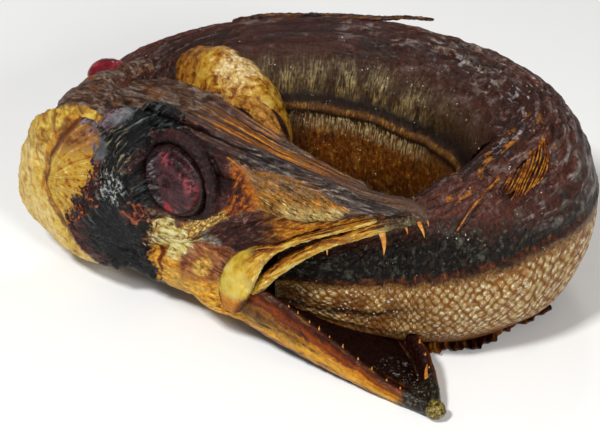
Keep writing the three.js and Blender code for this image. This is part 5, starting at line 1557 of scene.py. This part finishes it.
eye_right = dried_eye(-1, "right_dried")
eye_left = dried_eye(1, "left_dried")
iris, tree, shader = finish("dried_iris", coat=0.2, coat_roughness=0.12)
disc = marked(tree, "disc", True)
split = new_node(tree, "SeparateXYZ", None, {0: disc})
flat_disc = new_node(tree, "CombineXYZ", None,
                     {0: split.outputs[0], 1: split.outputs[1], 2: 0.0}).outputs[0]
reach = new_node(tree, "VectorMath", {"operation": "LENGTH"}, {0: flat_disc}).outputs["Value"]
fine = grain(tree, flat_disc, 9.0, 5.0, 0.65, 0.6)
blot = grain(tree, flat_disc, 2.2, 4.0, 0.6, 0.3)
turned = maths(tree, "ARCTAN2", split.outputs[1], split.outputs[0])
rays = grain(tree, new_node(tree, "CombineXYZ", None, {0: times(tree, turned, 9.0),
                                                       1: times(tree, reach, 2.0), 2: 0.0}).outputs[0],
             1.6, 4.0)
colour = ramp(tree, blot, [(0.34, (0.006, 0.001, 0.001)), (0.46, (0.024, 0.003, 0.005)),
                           (0.58, (0.052, 0.010, 0.014)), (0.70, (0.095, 0.034, 0.042))])
colour = blend(tree, times(tree, span(tree, rays, 0.5, 0.66), 0.30), colour, (0.10, 0.030, 0.036))
edge_zone = times(tree, span(tree, reach, 0.52, 0.72), span(tree, reach, 0.97, 0.90))
sector = maths(tree, "MAXIMUM", span(tree, maths(tree, "ADD", split.outputs[0], split.outputs[1]),
                                     0.35, 0.75),
               span(tree, split.outputs[1], -0.50, -0.66))
pink = times(tree, times(tree, span(tree, fine, 0.46, 0.58), sector), edge_zone)
colour = blend(tree, times(tree, pink, span(tree, blot, 0.42, 0.54)), colour, (0.26, 0.045, 0.055))
glow = new_node(tree, "VectorMath", {"operation": "DISTANCE"},
                {0: flat_disc, 1: (-0.20, -0.72, 0)}).outputs["Value"]
colour = blend(tree, span(tree, glow, 0.26, 0.05), colour, (0.34, 0.010, 0.020))
# wrinkled grey skin on the left of the disc, painted dark as the side of the dome in shade
wrinkles = grain(tree, stretched(tree, flat_disc, (0.8, 4.0, 1), (0, 0, 0.35)), 2.2, 4.0, 0.6, 0.8)
wrinkled = times(tree, span(tree, split.outputs[0], -0.10, -0.50), 0.85)
colour = blend(tree, wrinkled, colour, ramp(tree, wrinkles, [
    (0.40, (0.005, 0.003, 0.004)), (0.50, (0.022, 0.012, 0.013)), (0.57, (0.090, 0.068, 0.070)),
    (0.66, (0.20, 0.165, 0.17))]))
colour = blend(tree, span(tree, reach, 0.90, 0.98), colour,
               ramp(tree, fine, [(0.38, (0.004, 0.002, 0.002)), (0.62, (0.030, 0.012, 0.012))]))
pupil = new_node(tree, "VectorMath", {"operation": "DISTANCE"},
                 {0: flat_disc, 1: (-0.02, 0.08, 0)}).outputs["Value"]
colour = blend(tree, times(tree, span(tree, pupil, 0.30, 0.24),
                           times(tree, span(tree, pupil, 0.16, 0.22), 0.45)), colour, (0.075, 0.020, 0.023))
colour = blend(tree, span(tree, pupil, 0.18, 0.08), colour, (0.016, 0.003, 0.004))
tree.links.new(colour, shader.inputs["Base Color"])
tree.links.new(span(tree, fine, 0.3, 0.7, 0.16, 0.42), shader.inputs["Roughness"])
wet(tree, shader, relief(tree, rays, 0.0004, 0.6,
                         relief(tree, fine, 0.0005, 0.6, relief(tree, wrinkles, 0.0012, wrinkled))))
for piece, node in ((eye_right, "eye_right"), (eye_left, "eye_left")):
    piece.data.materials.append(iris)
    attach(piece, "root")
    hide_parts(node)


# Flesh at the nape.
# A lump of dark red flesh that swells out beside the torn edge of the nape's skin, dried hard and glossy.
nape_flesh = ball("nape_flesh", (-65, 43.5, 58.2), (7.5, 6, 5.5), 60, from_plan)
swell(nape_flesh, 0.3 * rough(coordinates(nape_flesh) * 1000, 4, 61, 3))
flesh, tree, shader = finish("dark_flesh", coat=0.25, coat_roughness=0.15)
place = new_node(tree, "TexCoord").outputs["Object"]
colour = ramp(tree, grain(tree, place, 220.0, 4.0),
              [(0.32, (0.035, 0.003, 0.005)), (0.52, (0.15, 0.008, 0.014)), (0.70, (0.30, 0.050, 0.060))])
tree.links.new(colour, shader.inputs["Base Color"])
tree.links.new(span(tree, grain(tree, place, 600.0, 3.0), 0.3, 0.7, 0.12, 0.35), shader.inputs["Roughness"])
nape_flesh.data.materials.append(flesh)
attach(nape_flesh, "root")
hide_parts("fish")


# Fins.
# The first dorsal is glued flat along the far side of the back. The second hangs from the crest by its stiff
# rays; one ray has come loose in front of it. A ragged anal fin sticks out below the belly.
def on_trunk(u, degrees, lift):
    return trunk_points(np.array([u]), np.array([degrees]), np.array([lift]) + trunk_relief(
        np.array([u]), np.array([degrees])))[0] * 1000


FIRST_DORSAL = [(0.225, 9, -0.4), (0.25, 8, 0.6), (0.28, 6, 1), (0.31, 6, 1.2),
                (0.335, 7, 1.8), (0.355, 9, 2.8), (0.375, 11, 4)]
rows = []
for i, (u_at, turn, lift) in enumerate(FIRST_DORSAL):
    thin = 1 - i / len(FIRST_DORSAL)
    rows.append((*on_trunk(u_at, turn, lift), 0.4 + 2.2 * thin, 0.4 + 0.7 * thin))
first_dorsal = strand("first_dorsal", rows, (0, 0, 1), 160, 28, lambda points: points / 1000)
local = coordinates(first_dorsal) * 1000
swell(first_dorsal, 0.3 * rough(local, 1.6, 71, 3))

# each ray of the second dorsal, nearest ray first: its place along and round the trunk at its root, its
# middle and its tip
FIN_RAYS = [(0.652, 17.0, 0.668, 22.0, 0.684, 27.0),
            (0.644, 17.0, 0.664, 23.0, 0.68, 29.0),
            (0.636, 17.0, 0.656, 24.0, 0.68, 31.0),
            (0.628, 16.0, 0.652, 26.0, 0.68, 36.0),
            (0.62, 15.0, 0.648, 26.0, 0.68, 37.0),
            (0.608, 13.0, 0.644, 27.0, 0.668, 35.0),
            (0.596, 11.0, 0.636, 27.0, 0.676, 41.0),
            (0.588, 10.0, 0.628, 28.0, 0.66, 36.0),
            (0.592, 13.0, 0.624, 29.0, 0.656, 36.0),
            (0.6, 19.0, 0.62, 30.0, 0.644, 35.0)]


def fin_spot(share, way):
    at = [np.interp(share, np.linspace(0, 1, len(FIN_RAYS)), column) for column in np.array(FIN_RAYS).T]
    root, middle, tip = (1 - way) * (1 - 2 * way), 4 * way * (1 - way), way * (2 * way - 1)
    return root * at[0] + middle * at[2] + tip * at[4], root * at[1] + middle * at[3] + tip * at[5]


rays = []
for j in range(12):
    share = j / 11
    reach = 0.88 + 0.12 * ((j * 7) % 5) / 4
    rows = []
    for k in range(9):
        way = k / 8 * reach
        u_at, turn = fin_spot(share + 0.012 * math.sin(5 * way + 2 * j), way)
        rows.append((*on_trunk(float(u_at), float(turn), 0.05 + 3.0 * way),
                     0.32 - 0.16 * way, 0.34 - 0.16 * way))
    rays.append(strand("ray", rows, (0, 0, 1), 60, 10, lambda points: points / 1000))


def web(u, degrees):
    t = (degrees + 180) / 360
    around = np.where(t < 0.5, t * 2, 2 - t * 2)
    under = np.where(t < 0.5, 0.2, -0.2)
    torn = 0.82 + 0.07 * np.sin(9 * u) + 0.07 * np.sin(31 * u + 1)
    uu, aa = fin_spot(u, around * torn)
    return trunk_points(uu, aa, trunk_relief(uu, aa) - 0.25 + 3.0 * around * torn
                        + under * np.sin(np.pi * np.clip(around, 0.04, 0.96)))


membrane_web = sleeve("fin_web", 120, 60, web)
LOOSE_RAY = [(0.668, 15.0, -0.3), (0.704, 24.0, 1.3), (0.728, 33.0, 1.6), (0.748, 43.0, 1.2)]
rows = [(*on_trunk(*row), 0.55 - 0.1 * i, 0.5 - 0.1 * i) for i, row in enumerate(LOOSE_RAY)]
loose_ray = strand("loose_ray", rows, (0, 0, 1), 60, 12, lambda points: points / 1000)


def anal_section(u, degrees):
    where = 0.60 + 0.20 * u
    at = along_table(TRUNK, where)
    way = along_table(TRUNK, where + 0.004)[:, :2] - along_table(TRUNK, where - 0.004)[:, :2]
    way /= np.linalg.norm(way, axis=1)[:, None]
    outward_way = np.stack([-way[:, 1], way[:, 0]], 1)
    count = u * 12
    ragged = 1.2 * np.sin(count * 1.1 + 1) + 0.7 * np.sin(count * 4.1) + 0.35 * np.sin(count * 9.3)
    t = (degrees + 180) / 360
    across = np.where(t < 0.5, t * 2, 2 - t * 2)
    out = at[:, 4] * 0.42 - 5 + across * (8.4 + ragged)
    rise = np.where(t < 0.5, 0.5, -0.5) * np.sin(np.pi * np.clip(across, 0.03, 0.97)) ** 0.5
    flat = at[:, :2] + outward_way * out[:, None]
    return from_plan(np.concatenate([flat, (0.95 + 3.0 * (1 - u) ** 2 + rise)[:, None]], 1))


anal_fin = sleeve("anal_fin", 240, 40, anal_section)
fin_skin, tree, shader = finish("fin_ray", coat=0.2)
place = new_node(tree, "TexCoord").outputs["Object"]
fine = grain(tree, place, 700.0, 4.0, 0.6)
colour = ramp(tree, fine, [(0.34, (0.05, 0.012, 0.002)), (0.46, (0.26, 0.080, 0.005)),
                           (0.60, (0.48, 0.20, 0.020)), (0.72, (0.14, 0.04, 0.004))])
patch = grain(tree, place, 130.0, 3.0, 0.6)
colour = blend(tree, span(tree, patch, 0.56, 0.44), colour, (0.34, 0.20, 0.20), "MULTIPLY")
tree.links.new(colour, shader.inputs["Base Color"])
tree.links.new(span(tree, fine, 0.3, 0.7, 0.3, 0.55), shader.inputs["Roughness"])


def folded_fin(name, lengths, gold):
    """Dark skin between thin orange rays that lie along the fin."""
    made, tree, shader = finish(name, coat=0.15)
    place = new_node(tree, "TexCoord").outputs["Object"]
    fine = grain(tree, stretched(tree, place, lengths), 620.0, 4.0, 0.62, 0.3)
    patch = grain(tree, place, 120.0, 3.0, 0.6)
    colour = ramp(tree, fine, [(0.36, (0.006, 0.002, 0.001)), (0.50, (0.040, 0.010, 0.004)),
                               (0.58, (0.14, 0.040, 0.005)), (0.66, gold), (0.74, (0.10, 0.028, 0.004))])
    colour = blend(tree, span(tree, patch, 0.54, 0.46), colour, (0.40, 0.36, 0.34), "MULTIPLY")
    tree.links.new(colour, shader.inputs["Base Color"])
    wet(tree, shader, relief(tree, fine, 0.0006, 0.9))
    tree.links.new(span(tree, fine, 0.3, 0.7, 0.3, 0.6), shader.inputs["Roughness"])
    return made


dorsal_skin = folded_fin("dorsal_skin", (0.10, 1.0, 1.0), (0.26, 0.150, 0.035))
anal_skin = folded_fin("anal_skin", (0.75, 0.16, 1.0), (0.42, 0.17, 0.016))
for piece in (*rays, loose_ray):
    piece.data.materials.append(fin_skin)
for piece in (first_dorsal, membrane_web):
    piece.data.materials.append(dorsal_skin)
anal_fin.data.materials.append(anal_skin)
for piece in (first_dorsal, *rays, membrane_web, loose_ray, anal_fin):
    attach(piece, "root")
    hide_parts("fish")
